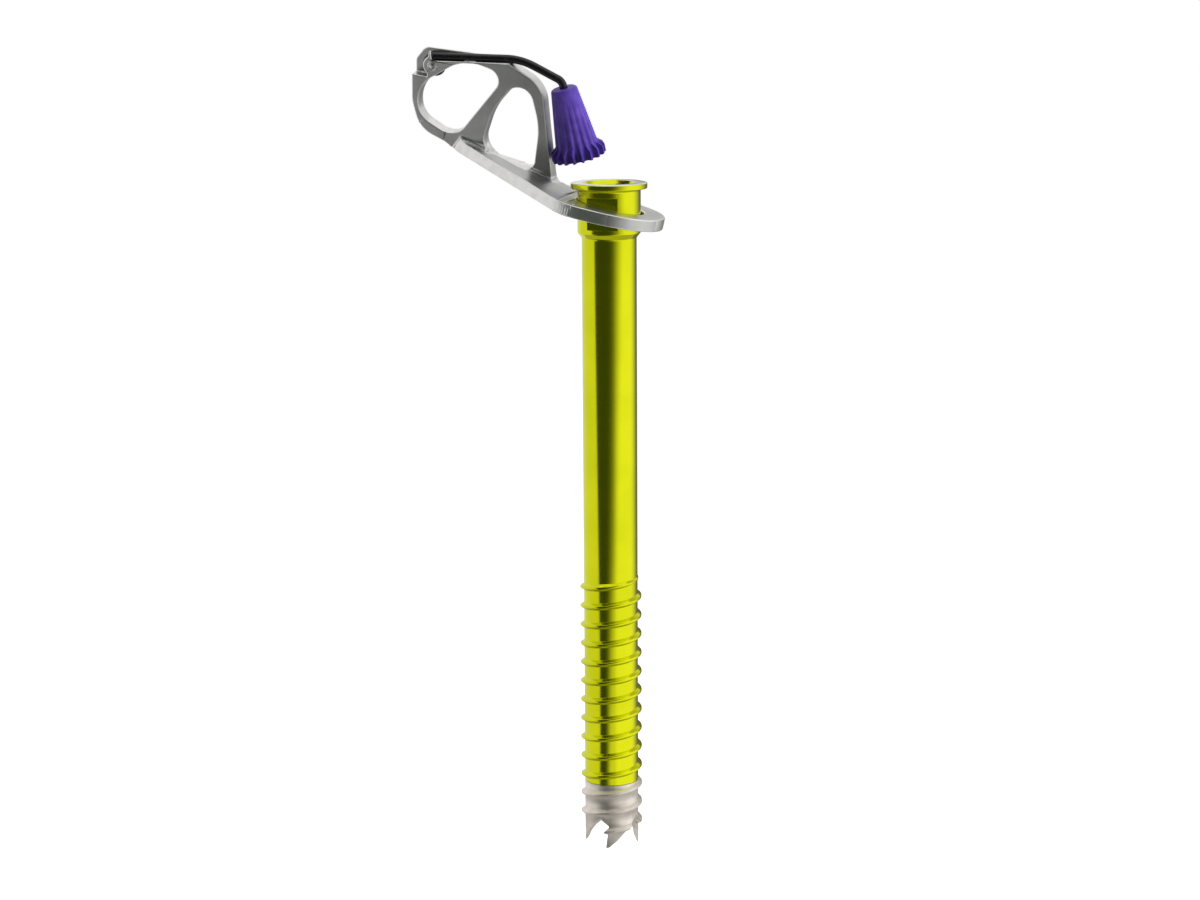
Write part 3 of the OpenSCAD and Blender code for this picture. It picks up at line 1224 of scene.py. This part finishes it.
@dataclass
class Hanger:
    """The bent hanger: ring, arm and leaning plate with its two windows."""

    ring_t: float = 3.8
    ring_r: float = 18.0
    ring_shift: float = -0.7
    hole_r: float = 10.7
    hole_half: float = 8.65
    ring_z: float = 7.9
    rock: float = 12.6
    arm_start: float = 11.2
    arm_rise: float = 10.0
    arm_bend_r: float = 45.0
    bend_steps: int = 10
    arm_len: float = 43.5
    strip_end: float = 42.0
    plate_back: float = 10.0
    plate_t: float = 4.4
    plate_lean: float = 16.0
    inner_fillet: float = 1.5
    outer_round: float = 5.0
    waist_r: float = 22.0
    pivot_s: float = 58.6
    pivot_v: float = 22.1
    run_slope: float = 22.3
    wire_r: float = 1.25
    rivet_r: float = 1.25
    eye_r: float = 2.55
    slot_play: float = 0.12
    lip_cover: float = 0.4
    cheek_r: float = 3.1
    crank_open: float = 170.0
    edge_round: float = 0.4
    plate_shape: tuple[Corner, ...] = (
        (5, -2.8, 0), (5, 1.9, 0), (10.4, 1.9, 3), (17.6, 18.4, 30), (22.9, 31, 10),
        (37, 33.6, 12), (63.6, 25.6, 3.4), (65.4, 20.6, 2.5), (61.9, 8.5, 12),
        (57, 0.6, 9), (47, -0.2, 8), (42, -2.8, 0),
    )
    near_window: tuple[Corner, ...] = (
        (29.4, 33, 4.6), (36, 17, 22), (36.2, 1.4, 6), (22.5, 2.9, 5),
        (17.4, 2.4, 3), (20.2, 18, 24),
    )
    tip_window: tuple[Corner, ...] = (
        (35, 29.4, 3.8), (49.4, 28.6, 14), (61.4, 14, 10), (58.4, 4.6, 7), (45, 2.2, 6.5),
    )

    @property
    def in_hanger(self) -> Matrix:
        """Frame of the ring."""
        return place(0, 0, self.ring_z) @ turn(self.rock, "Y")

    @property
    def in_arm(self) -> Matrix:
        """Frame of the arm."""
        return self.in_hanger @ place(-self.arm_start) @ turn(self.arm_rise, "Y")

    @property
    def in_plate(self) -> Matrix:
        """Frame of the plate: X to the tip, Y up the plate, Z to the rear."""
        return (
            self.in_arm
            @ place(0, self.plate_back, 0)
            @ turn(-(90 - self.plate_lean), "X")
            @ turn(180, "Z")
        )

    @property
    def at_pivot(self) -> Matrix:
        """Frame of the crank's pivot: X along the wire, Z along the rivet."""
        spot = place(self.pivot_s, self.pivot_v)
        return self.in_plate @ spot @ turn(180 - self.run_slope, "Z")

    @property
    def lean_shift(self) -> float:
        """Half the thickness of the plate where it meets the arm's faces."""
        lean = math.radians(self.plate_lean)
        return self.plate_t / 2 / math.cos(lean) + self.ring_t / 2 * math.tan(lean)

    def _side_line(self, off: float) -> list[Point2]:
        """Side line of the ring and the bend.

        Args:
            off: Distance above the middle of the thickness.

        Returns:
            The points of the line.
        """
        tangent = self.arm_bend_r * math.tan(math.radians(self.arm_rise) / 2)
        found: list[Point2] = [(2 * self.ring_r, off)]
        for i in range(self.bend_steps + 1):
            a = math.radians(self.arm_rise) * i / self.bend_steps
            r = self.arm_bend_r - off
            found.append((-self.arm_start + tangent - r * math.sin(a), off + r * (1 - math.cos(a))))
        return found

    def _plan(self, name: str) -> bpy.types.Object:
        """Prism of the ring's and the arm's outline, seen from above.

        Args:
            name: Name of the solid.

        Returns:
            The solid.
        """
        front, rear = self.plate_back - self.lean_shift, self.plate_back + self.lean_shift
        arm_end = -self.arm_start - self.arm_len * math.cos(math.radians(self.arm_rise))
        slope = (front + self.ring_r) / (arm_end + self.arm_start)
        far_end = -self.arm_start + (rear + self.ring_r) / slope
        reach = 3 * self.ring_r
        ring = prism(name, disc(self.ring_r, 220, (self.ring_shift, 0)), -reach, reach)
        wing = prism(
            "wing",
            rounded(
                [
                    (self.ring_shift, -self.ring_r, 0), (self.ring_shift, rear, 0),
                    (far_end, rear, 0), (1 - self.arm_start, -self.ring_r, self.waist_r),
                ],
                40,
            ),
            -reach,
            reach,
        )
        fuse(ring, wing, Fuse.UNION)
        ring.data.transform(self.in_hanger)
        return ring

    def _band(self) -> bpy.types.Object:
        """Level ring with its bend, wider than its outline.

        Returns:
            The solid.
        """
        lower = self._side_line(-self.ring_t / 2)
        upper = self._side_line(self.ring_t / 2)
        outline = lower + upper[::-1]
        reach = 2 * self.ring_r
        return prism("hanger_look", outline, -reach, reach, self.in_hanger @ turn(90, "X"))

    def _corner_bar(self) -> bpy.types.Object:
        """Long bar with the section of the arm and the plate.

        Returns:
            The solid.
        """
        reach = 70.0
        lean = math.radians(self.plate_lean)
        up = (-math.sin(lean) * reach, math.cos(lean) * reach)
        front, rear = self.plate_back - self.lean_shift, self.plate_back + self.lean_shift
        half = self.ring_t / 2
        section = rounded(
            [
                (-2 * self.ring_r, -half, 0), (rear, -half, self.outer_round),
                (rear + up[0], -half + up[1], 0), (front + up[0], half + up[1], 0),
                (front, half, self.inner_fillet), (-2 * self.ring_r, half, 0),
            ],
            20,
        )
        tangent = self.arm_bend_r * math.tan(math.radians(self.arm_rise) / 2)
        where = (
            self.in_arm
            @ place(-tangent + 0.01)
            @ turn(-90, "Z")
            @ turn(90, "X")
            @ Matrix.Scale(-1, 4, (1, 0, 0))
        )
        return prism("corner_bar", section, 0.0, reach, where)

    def _plate(self) -> bpy.types.Object:
        """Thick prism of the plate's outline with its windows.

        Returns:
            The solid.
        """
        reach = 3 * self.plate_t
        plate = prism("plate", rounded(self.plate_shape, 28), -reach, reach)
        for window in (self.near_window, self.tip_window):
            fuse(plate, prism("window", rounded(window, 28), -reach - 1, reach + 1), Fuse.CUT)
        plate.data.transform(self.in_plate)
        return plate

    def _slot(self) -> list[bpy.types.Object]:
        """Cutters of the wire's room in the plate and of what is open in front.

        Returns:
            The solids.
        """
        half = self.wire_r + self.slot_play
        swing = self.eye_r + self.wire_r + self.slot_play
        floor = self.eye_r - self.wire_r - self.slot_play
        lip = floor + self.slot_play + self.lip_cover
        size = 60.0
        where = self.at_pivot
        fork = where @ turn(-self.crank_open, "Z")
        low, high = -self.plate_t, -half + 0.01
        eye = prism("eye_room", disc(swing, 96), -half, half, where)
        run = prism("run_room", oblong(0, -floor - size, size, -floor), -half, half, where)
        fuse(eye, run, Fuse.UNION)
        turned = prism("fork_room", oblong(0, -swing, size, size - swing), -half, half, fork)
        fuse(eye, turned, Fuse.UNION)
        above = prism("above_lip", oblong(0, -lip - size, size, -lip), low, high, where)
        start = self.cheek_r / 2
        beyond = prism("beyond_cheek", oblong(start, -swing, size, size - swing), low, high, fork)
        fuse(beyond, prism("cheek", disc(self.cheek_r, 96), low - 1, high + 1, where), Fuse.CUT)
        return [eye, above, beyond]

    def _mark_sides(self, piece: bpy.types.Object) -> None:
        """Gives the sides and the window walls the slot of the bright edges.

        Args:
            piece: The hanger in millimetres, whose rounded edges have the slot already.
        """
        to_plate, to_arm, to_ring = (
            np.array(m.inverted()) for m in (self.in_plate, self.in_arm, self.in_hanger)
        )
        half = self.ring_t / 2 + 0.15
        for face in piece.data.polygons:
            spot, normal = np.array([*face.center, 1.0]), np.array([*face.normal, 0.0])
            rear, up = (to_plate @ normal)[2], (to_arm @ normal)[2]
            height = min(abs((to_arm @ spot)[2]), abs((to_ring @ spot)[2]))
            on_plate = abs(rear) > 0.8 and abs((to_plate @ spot)[2]) < self.plate_t / 2 + 0.3
            on_arm = abs(up) > 0.8 and height < half
            in_bend = rear * up < -0.04 and height < self.outer_round + 1.0
            if not (on_plate or on_arm or in_bend):
                face.material_index = 1

    def build(self, finishes: Finishes) -> bpy.types.Object:
        """Builds the hanger.

        Args:
            finishes: Materials of the object.

        Returns:
            The finished piece.
        """
        ring = fuse(self._band(), self._plan("plan"), Fuse.COMMON)
        half, reach = self.ring_t / 2, 90.0
        slab = prism("slab", oblong(-self.strip_end, -reach, reach, reach), -half, half, self.in_arm)
        arm = fuse(self._plan("arm"), slab, Fuse.COMMON)
        arm = fuse(arm, self._plate(), Fuse.UNION)
        arm = fuse(arm, self._corner_bar(), Fuse.COMMON)
        front = prism("front", oblong(-20, -40, 110, 60), -60, -self.plate_t / 2, self.in_plate)
        fuse(arm, fuse(front, self._plan("inner"), Fuse.CUT), Fuse.CUT)
        fuse(ring, arm, Fuse.UNION)
        hole = prism("hole", disc(self.hole_r, 160), -12, 12, self.in_hanger)
        across = oblong(-30, -self.hole_half, 30, self.hole_half)
        keep = prism("keep", across, -13, 13, self.in_hanger)
        fuse(ring, fuse(hole, keep, Fuse.COMMON), Fuse.CUT)
        for cutter in self._slot():
            fuse(ring, cutter, Fuse.CUT)
        pin = prism("pin", disc(self.rivet_r, 48), -4, 4, self.at_pivot)
        fuse(ring, pin, Fuse.CUT)
        ring.data.materials.append(finishes.satin)
        ring.data.materials.append(finishes.edge)
        soften(ring, self.edge_round, 30, slot=1)
        self._mark_sides(ring)
        return dress(
            to_metres(ring), [finishes.satin, finishes.edge], "hanger", "hanger", "hanger"
        )

    def build_rivet(self, finishes: Finishes) -> bpy.types.Object:
        """Builds the peened rivet of the pivot.

        Args:
            finishes: Materials of the object.

        Returns:
            The finished piece.
        """
        half, peen = self.plate_t / 2, 0.35
        top: list[Point2] = [(self.rivet_r, half), (1.6, half)]
        top += corner((1.6, half), (1.55, half + 0.12), (1.25, half + peen), 0.08, 4)
        top += corner((1.5, half + 0.1), (1.25, half + peen), (1.1, half + peen - 0.06), 0.06, 4)
        top += [(1.02, half + 0.12), (0.95, half + 0.12)]
        top += [(0.9, half + 0.2), (0.8, half + 0.28), (0.4, half + 0.31), (0.0, half + 0.32)]
        profile = [(0.0, -z) if r == 0.0 else (r, -z) for r, z in reversed(top)] + top
        rivet = lathe("pivot_rivet_look", profile, 72, self.at_pivot)
        smooth_by_angle(rivet, 35)
        return dress(to_metres(rivet), [finishes.bright], "hanger", "bright_steel", "pivot_rivet")


@dataclass
class Crank:
    """The wire crank with its curled eye, and the knob that spins on its leg."""

    hanger: Hanger
    eye_turn: float = 255.0
    run_len: float = 24.4
    long_bend_r: float = 20.0
    long_bend: float = 27.0
    bridge_len: float = 8.3
    short_bend_r: float = 3.0
    short_bend: float = 54.5
    knob_gap: float = 0.6
    knob_len: float = 22.4
    small_r: float = 4.05
    wide_r: float = 6.6
    rim_r: float = 8.5
    flare: float = 4.4
    flutes: int = 18
    flute_depth: float = 1.9
    flute_r: float = 1.0
    flute_z: float = 4.48
    flare_round: float = 1.6
    play: float = 0.06
    recess_depth: float = 5.0
    recess_r: float = 4.5
    washer_t: float = 0.6
    washer_r: float = 3.2
    clip_t: float = 0.4
    clip_h: float = 1.0
    wire_end: float = 1.0
    sector_steps: int = 26
    eye_steps: int = 60
    bend_steps: int = 24
    line_step: float = 1.2
    end_ease: float = 0.35
    end_share: float = 0.78

    @property
    def wire_r(self) -> float:
        """Radius of the wire, as the hanger's groove has it."""
        return self.hanger.wire_r

    @property
    def eye_r(self) -> float:
        """Radius of the eye's middle line, as the fork has it."""
        return self.hanger.eye_r

    @property
    def leg_len(self) -> float:
        """Length of the wire's leg in the knob."""
        inside = self.knob_len - self.recess_depth + self.play
        return self.knob_gap + inside + self.washer_t + self.clip_h + self.wire_end

    def _line(self) -> np.ndarray:
        """Middle line of the wire, in the pivot's frame.

        Returns:
            Its points in millimetres.
        """
        points: list[Point2] = []
        for i in range(self.eye_steps + 1):
            a = math.radians(-90 - self.eye_turn * (1 - i / self.eye_steps))
            points.append((self.eye_r * math.cos(a), self.eye_r * math.sin(a)))
        spot, heading = np.array([0.0, -self.eye_r]), 0.0
        for length, radius, angle in (
            (self.run_len, self.long_bend_r, self.long_bend),
            (self.bridge_len, self.short_bend_r, self.short_bend),
            (self.leg_len, 0.0, 0.0),
        ):
            along = np.array([math.cos(heading), math.sin(heading)])
            count = max(2, int(length / self.line_step))
            for i in range(1, count + 1):
                points.append(tuple(spot + along * length * i / count))
            spot = spot + along * length
            if angle:
                side = np.array([-math.sin(heading), math.cos(heading)])
                centre = spot + side * radius
                for i in range(1, self.bend_steps + 1):
                    h = heading + math.radians(angle) * i / self.bend_steps
                    points.append(
                        (centre[0] + radius * math.sin(h), centre[1] - radius * math.cos(h))
                    )
                heading += math.radians(angle)
                spot = np.array(points[-1])
        return np.array([(x, y, 0.0) for x, y in points])

    @property
    def on_leg(self) -> Matrix:
        """Frame of the knob: Z from its small end to its wide end."""
        long_a, short_a = math.radians(self.long_bend), math.radians(self.short_bend)
        return (
            self.hanger.at_pivot
            @ place(self.run_len, -self.eye_r, 0)
            @ place(self.long_bend_r * math.sin(long_a), self.long_bend_r * (1 - math.cos(long_a)))
            @ turn(self.long_bend, "Z")
            @ place(
                self.bridge_len + self.short_bend_r * math.sin(short_a),
                self.short_bend_r * (1 - math.cos(short_a)),
            )
            @ turn(self.short_bend, "Z")
            @ place(self.knob_gap)
            @ turn(90, "Y")
        )

    def build_wire(self, finishes: Finishes) -> bpy.types.Object:
        """Builds the wire.

        Args:
            finishes: Materials of the object.

        Returns:
            The finished piece.
        """
        points = self._line()
        first, last = points[0], points[-1]
        start = first + unit(points[1] - first) * self.end_ease / 2
        stop = last - unit(last - points[-2]) * self.end_ease
        points = np.vstack([first, start, points[1:-1], stop, last])
        grow = np.ones(len(points))
        grow[0] = grow[-1] = self.end_share
        section = line_object(
            "wire_section", np.array([(x, y, 0.0) for x, y in disc(self.wire_r, 32)]), loop=True
        )
        wire = line_object("crank_wire_look", points, grow)
        sweep_tree(Facing.LEAST_TWIST).apply(wire, {"Section": section, "Finish": finishes.wire})
        bpy.data.objects.remove(section)
        wire.data.transform(self.hanger.at_pivot)
        weld(wire)
        smooth_by_angle(wire, 40)
        return dress(to_metres(wire), [finishes.wire], "crank", "black_wire", "crank_wire")

    def _knob_profile(self) -> list[Point2]:
        """Closed profile of the knob without its flutes, from its bore and back.

        Returns:
            The points of the profile.
        """
        flare_z = self.knob_len - self.flare
        end_z = flare_z + 0.36 * self.flare
        hole = self.wire_r + self.play
        top = self.knob_len
        small, wide, rim = (self.small_r, 0.0), (self.wide_r, flare_z), (self.rim_r, end_z)
        side: list[Point2] = [(hole, 0.0), (hole + 0.3, 0.0)]
        side += corner((0, 0), small, wide, 0.8, 8)
        start, stop = side[-1], corner(small, wide, rim, self.flare_round, 8)[0]
        side += [tuple(p) for p in np.linspace(start, stop, 41)[1:-1].tolist()]
        side += corner(small, wide, rim, self.flare_round, 8)
        side += corner(wide, rim, (self.rim_r, top), 1.2, 6)
        side += corner(rim, (self.rim_r, top), (0, top), 0.5, 6)
        side += [(7.4, top), (6.8, top), (6.0, top), (5.2, top)]
        side += corner((8, top), (self.recess_r, top), (self.recess_r, 0), 0.25, 4)
        floor = top - self.recess_depth
        side += corner((self.recess_r, top), (self.recess_r, floor), (0, floor), 0.4, 4)
        side += [(hole, floor)]
        return side

    def _flute(self, z: float, angle: float) -> float:
        """Radius at which a flute cuts, at a height and an angle from its middle.

        Args:
            z: Height on the knob.
            angle: Angle from the flute's middle in radians.

        Returns:
            The radius in millimetres, or a large one where there is no flute.
        """
        flare_z = self.knob_len - self.flare
        if z < self.flute_z - 1.0:
            return 99.0
        start = self.small_r + (self.wide_r - self.small_r) * self.flute_z / flare_z + self.flute_r
        end = self.rim_r - self.flute_depth + self.flute_r
        middle = start + (end - start) * (z - self.flute_z) / (self.knob_len - self.flute_z)
        inside = self.flute_r**2 - (middle * math.sin(angle)) ** 2
        if inside <= 0:
            return 99.0
        return middle * math.cos(angle) - math.sqrt(inside)

    def _knob_radius(self, r: float, z: float, angle: float) -> float:
        """Radius of the fluted body, with the flute's edges rounded.

        Args:
            r: Radius of the plain body.
            z: Height on the knob.
            angle: Angle from the flute's middle in radians.

        Returns:
            The radius in millimetres.
        """
        cut = self._flute(z, angle)
        blend = 0.16
        if cut > r + blend:
            return r
        if cut < r - blend:
            return cut
        t = 0.5 + 0.5 * (cut - r) / blend
        return cut + (r - cut) * t - blend * t * (1 - t)

    def build_knob(self, finishes: Finishes) -> bpy.types.Object:
        """Builds the knob from one fluted sector that is repeated round it.

        Args:
            finishes: Materials of the object.

        Returns:
            The finished piece.
        """
        profile = self._knob_profile()
        half = math.pi / self.flutes
        angles = [half * (2 * i / self.sector_steps - 1) for i in range(self.sector_steps + 1)]
        work = bmesh.new()
        columns = []
        for a in angles:
            column = []
            for r, z in profile:
                outside = r > self.recess_r + 0.3 or z < self.knob_len - self.recess_depth - 0.5
                wide = self._knob_radius(r, z, a) if outside and r > self.wire_r + 1 else r
                column.append(work.verts.new((wide * math.cos(a), wide * math.sin(a), z)))
            columns.append(column)
        for left, right in zip(columns, columns[1:]):
            for k in range(len(profile)):
                m = (k + 1) % len(profile)
                work.faces.new((left[k], right[k], right[m], left[m]))
        sector = to_object("crank_knob_look", work)
        ring_tree().apply(sector, {"Count": self.flutes, "Weld": 0.004, "Finish": finishes.knob})
        work = bmesh.new()
        work.from_mesh(sector.data)
        bmesh.ops.dissolve_degenerate(work, edges=work.edges, dist=1e-4)
        bmesh.ops.transform(work, matrix=self.on_leg, verts=work.verts)
        bmesh.ops.recalc_face_normals(work, faces=work.faces)
        work.to_mesh(sector.data)
        work.free()
        smooth_by_angle(sector, 50)
        return dress(to_metres(sector), [finishes.knob], "knob", "knob", "crank_knob")

    def build_washer(self, finishes: Finishes) -> bpy.types.Object:
        """Builds the washer in the knob's recess, with its punched edges.

        Args:
            finishes: Materials of the object.

        Returns:
            The finished piece.
        """
        low = self.knob_len - self.recess_depth + self.play
        high, r0, r1 = low + self.washer_t, self.wire_r + 0.01, self.washer_r
        profile: list[Point2] = [(r0, low + 0.06), (r0 + 0.08, low), (r1 - 0.18, low)]
        profile += [(r1 - 0.05, low + 0.06), (r1, low + 0.18), (r1, high - 0.04)]
        profile += [(r1 - 0.04, high), (r0 + 0.04, high), (r0, high - 0.04)]
        washer = lathe("knob_washer_look", profile, 96, self.on_leg)
        smooth_by_angle(washer, 35)
        return dress(to_metres(washer), [finishes.bright], "crank", "bright_steel", "knob_washer")

    def build_clip(self, finishes: Finishes) -> bpy.types.Object:
        """Builds the push-on clip, whose raised middle is slit into fingers.

        Args:
            finishes: Materials of the object.

        Returns:
            The finished piece.
        """
        low = self.knob_len - self.recess_depth + self.play + self.washer_t
        t, rim, grip = self.clip_t, self.washer_r - self.clip_t, self.wire_r
        profile: list[Point2] = [
            (grip + 0.9 * t, low), (rim - 0.06, low), (rim, low + 0.06), (rim, low + t - 0.06),
            (rim - 0.06, low + t), (grip + 1.6 * t, low + t), (grip + t, low + self.clip_h),
            (grip + 0.01, low + self.clip_h), (grip + 0.01, low + self.clip_h - t),
        ]
        steps, fingers = 96, 3
        clip = lathe("knob_clip_look", profile, steps)
        for i in range(fingers):
            across = oblong(-0.14, -2.2, 0.14, 2.2)
            slit = prism("slit", across, low - 1, low + 3, turn(180 * i / fingers, "Z"))
            fuse(clip, slit, Fuse.CUT)
        clip.data.transform(self.on_leg)
        smooth_by_angle(clip, 35)
        return dress(to_metres(clip), [finishes.bright], "crank", "bright_steel", "knob_clip")


# Studio


@dataclass
class Studio:
    """Camera, light, floor and the dark card that the metal mirrors."""

    camera_at: tuple[float, float, float] = (0.22306, -0.87533, 0.1016)
    camera_along: tuple[float, float, float] = (-0.2461, 0.9517, -0.1833)
    roll: float = 0.306
    lens: float = 88.03
    floor_z: float = -0.34
    floor_glow: float = 0.88
    world_light: float = 0.1
    wall_r: float = 0.45
    side_shade: float = 0.76
    gap_shade: float = 0.055
    gap_tint: Colour = (0.8, 1.0, 0.8)
    gap: tuple[tuple[float, float, float, float], ...] = (
        (-0.335, -60, -34, 0),
        (-0.29, -48, -34, 0),
        (-0.247, -49, -30, 16),
        (-0.2, -54, -24, 40),
        (-0.08, -65, -14, 66),
        (0.7, -66, -14, 70),
    )
    back_shade: float = 0.15
    top_shade: float = 0.8
    patch_from: float = -95.0
    patch_to: float = 25.0
    patch_shade: float = 0.05
    floor_shade: float = 0.45
    left_power: float = 2.0
    right_power: float = 24.0
    top_power: float = 9.0

    @property
    def facing(self) -> float:
        """Direction of the camera from the object, in degrees."""
        return math.degrees(math.atan2(self.camera_at[1], self.camera_at[0]))

    def build_camera(self) -> bpy.types.Object:
        """Builds the camera at the photograph's place.

        Returns:
            The camera.
        """
        ahead = Vector(self.camera_along).normalized()
        right = ahead.cross(Vector((0, 0, 1))).normalized()
        up = right.cross(ahead)
        roll = math.radians(self.roll)
        side = right * math.cos(roll) - up * math.sin(roll)
        top = right * math.sin(roll) + up * math.cos(roll)
        data = bpy.data.cameras.new("camera")
        data.sensor_width = 36.0
        data.sensor_fit = "HORIZONTAL"
        data.lens = self.lens
        data.clip_start = 0.01
        camera = bpy.data.objects.new("camera", data)
        bpy.context.scene.collection.objects.link(camera)
        axes = Matrix((side, top, -ahead)).transposed().to_4x4()
        camera.matrix_world = Matrix.Translation(self.camera_at) @ axes
        bpy.context.scene.camera = camera
        return camera

    def build_world(self) -> None:
        """Builds an even world that is white to the camera and in reflections, and dim else."""
        world = bpy.data.worlds.new("studio")
        world.use_nodes = True
        bpy.context.scene.world = world
        tree = world.node_tree
        path = tree.nodes.new("ShaderNodeLightPath")
        seen = Value(tree, path.outputs["Is Camera Ray"]).most(
            Value(tree, path.outputs["Is Glossy Ray"])
        ).most(Value(tree, path.outputs["Is Transmission Ray"]))
        strength = self.world_light + seen * (1.0 - self.world_light)
        back = tree.nodes["Background"]
        back.inputs["Color"].default_value = (1.0, 1.0, 1.0, 1.0)
        tree.links.new(strength.socket, back.inputs["Strength"])

    def build_lamp(
        self, name: str, at: Vector, size: tuple[float, float], power: float
    ) -> bpy.types.Object:
        """Builds one soft panel that looks at the object.

        Args:
            name: Name of the lamp.
            at: Its place in metres.
            size: Its width and height in metres.
            power: Its power in watts.

        Returns:
            The lamp.
        """
        data = bpy.data.lights.new(name, "AREA")
        data.shape = "RECTANGLE"
        data.size, data.size_y = size
        data.energy = power
        lamp = bpy.data.objects.new(name, data)
        bpy.context.scene.collection.objects.link(lamp)
        away = (Vector((0, 0, -0.05)) - at).normalized()
        aim = away.to_track_quat("-Z", "Y").to_matrix().to_4x4()
        lamp.matrix_world = Matrix.Translation(at) @ aim
        lamp.visible_glossy = False
        return lamp

    def build_floor(self) -> bpy.types.Object:
        """Builds the pale floor, which keeps the object's shadow.

        Returns:
            The floor.
        """
        face = Surface("pale_floor")
        cloud = face.noise(3.0, 2.0)
        face.set(
            Base_Color=face.mix(cloud, (0.86, 0.86, 0.86), (0.9, 0.9, 0.9)),
            Roughness=0.9,
            Specular_IOR_Level=0.1,
        )
        path = face.add("ShaderNodeLightPath")
        seen = Value(face.tree, path.outputs["Is Camera Ray"]).most(
            Value(face.tree, path.outputs["Is Transmission Ray"])
        )
        face.set(Emission_Color=(1.0, 1.0, 1.0), Emission_Strength=seen * self.floor_glow)
        work = bmesh.new()
        bmesh.ops.create_grid(work, x_segments=8, y_segments=8, size=30.0)
        bmesh.ops.translate(work, vec=(0, 0, self.floor_z), verts=work.verts)
        floor = to_object("floor", work)
        floor.data.materials.append(face.material)
        return floor

    def _glow(self, name: str) -> bpy.types.Material:
        """Material that glows by the mesh's own shade.

        Args:
            name: Name of the material.

        Returns:
            The material.
        """
        face = Surface(name)
        shade = face.add("ShaderNodeAttribute", {"attribute_name": "shade"})
        face.set(
            Base_Color=(0.0, 0.0, 0.0),
            Specular_IOR_Level=0.0,
            Emission_Color=shade.outputs["Color"],
            Emission_Strength=1.0,
        )
        return face.material

    def _card(
        self,
        name: str,
        columns: int,
        rows: int,
        spot: Callable[[float, float], tuple[Corner, Colour]],
    ) -> bpy.types.Object:
        """Builds a band of shaded cells round the object, which only reflections show.

        Args:
            name: Name of the card.
            columns: Number of cells round the object.
            rows: Number of cells across the band.
            spot: Gives a place in metres and a colour for a direction from that of the
                camera, in degrees, and a share of the way across the band.

        Returns:
            The card.
        """
        work = bmesh.new()
        shade = work.verts.layers.float_color.new("shade")
        grid = []
        for i in range(columns):
            line = []
            for k in range(rows + 1):
                where, colour = spot(-180 + 360 * i / columns, k / rows)
                vert = work.verts.new(where)
                vert[shade] = (*colour, 1.0)
                line.append(vert)
            grid.append(line)
        for i, line in enumerate(grid):
            there = grid[(i + 1) % columns]
            for k in range(rows):
                work.faces.new((line[k], line[k + 1], there[k + 1], there[k]))
        card = to_object(name, work)
        card.data.materials.append(self._glow(f"{name}_glow"))
        card.visible_camera = False
        card.visible_diffuse = False
        card.visible_shadow = False
        card.visible_transmission = False
        return card

    def wall_shade(self, offset: float, height: float) -> Colour:
        """Colour of the wall round the object.

        Args:
            offset: Direction from that of the camera, in degrees, to its right.
            height: Height in metres.

        Returns:
            The colour.
        """
        plain_wall = self.side_shade
        plain_wall += (1.0 - self.side_shade) * step(offset, 8, 30)
        plain_wall += (self.back_shade - plain_wall) * step(offset, 92, 150)
        plain_wall += (self.top_shade - plain_wall) * step(abs(offset), 120, 150) * step(
            height, 0.04, 0.1
        )
        heights = [row[0] for row in self.gap]
        left, inner, outer = (
            float(np.interp(height, heights, [row[k] for row in self.gap])) for k in (1, 2, 3)
        )
        bright = step(offset, inner, outer) ** 1.9
        inside = step(offset, left - 3, left + 3) * (1 - bright)
        dark = (self.gap_shade * tint for tint in self.gap_tint)
        red, green, blue = (plain_wall + (shade - plain_wall) * inside for shade in dark)
        return red, green, blue

    def _wall_spot(self, offset: float, share: float) -> tuple[Corner, Colour]:
        """Place and colour on the wall.

        Args:
            offset: Direction from that of the camera, in degrees.
            share: Share of the way up.

        Returns:
            The place in metres and the colour.
        """
        low, high = self.floor_z + 0.004, 0.7
        a, z = math.radians(self.facing + offset), low + (high - low) * share**1.6
        return (self.wall_r * math.cos(a), self.wall_r * math.sin(a), z), self.wall_shade(offset, z)

    def _floor_spot(self, offset: float, share: float) -> tuple[Corner, Colour]:
        """Place and colour on the floor that reflections show.

        Args:
            offset: Direction from that of the camera, in degrees.
            share: Share of the way from the middle to the wall.

        Returns:
            The place in metres and the colour.
        """
        inner = 0.01
        a, r = math.radians(self.facing + offset), inner + (self.wall_r - inner) * share
        edge = step(offset, self.patch_from, self.patch_from + 25)
        edge *= 1 - step(offset, self.patch_to - 25, self.patch_to)
        value = self.floor_shade
        value += (self.patch_shade - value) * edge * step(r, 0.12, 0.22)
        return (r * math.cos(a), r * math.sin(a), self.floor_z + 0.003), (value, value, value)

    def build(self) -> None:
        """Builds the whole studio."""
        scene = bpy.context.scene
        scene.view_settings.view_transform = "Standard"
        self.build_camera()
        self.build_world()
        self.build_floor()
        self._card("wall", 240, 60, self._wall_spot)
        self._card("low_card", 144, 24, self._floor_spot)
        self.build_lamp("left_panel", Vector((-1.1, -0.5, 0.5)), (0.9, 1.3), self.left_power)
        self.build_lamp("right_panel", Vector((1.2, -0.2, 0.5)), (0.9, 1.3), self.right_power)
        self.build_lamp("top_panel", Vector((0.2, 0.1, 1.3)), (1.2, 1.0), self.top_power)


def step(value: float, low: float, high: float) -> float:
    """Smooth step from 0 at low to 1 at high."""
    t = min(1.0, max(0.0, (value - low) / (high - low)))
    return t * t * (3 - 2 * t)


def main() -> None:
    """Builds every piece round the frame, then the studio."""
    logging.basicConfig(level=logging.INFO, format="%(name)s: %(message)s")
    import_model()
    finishes = Finishes()
    screw = Screw()
    screw.build_tube(finishes)
    screw.build_cutting_head(finishes)
    hanger = Hanger()
    hanger.build(finishes)
    hanger.build_rivet(finishes)
    crank = Crank(hanger)
    crank.build_wire(finishes)
    crank.build_knob(finishes)
    crank.build_washer(finishes)
    crank.build_clip(finishes)
    Studio().build()


if __name__ == "__main__":
    main()
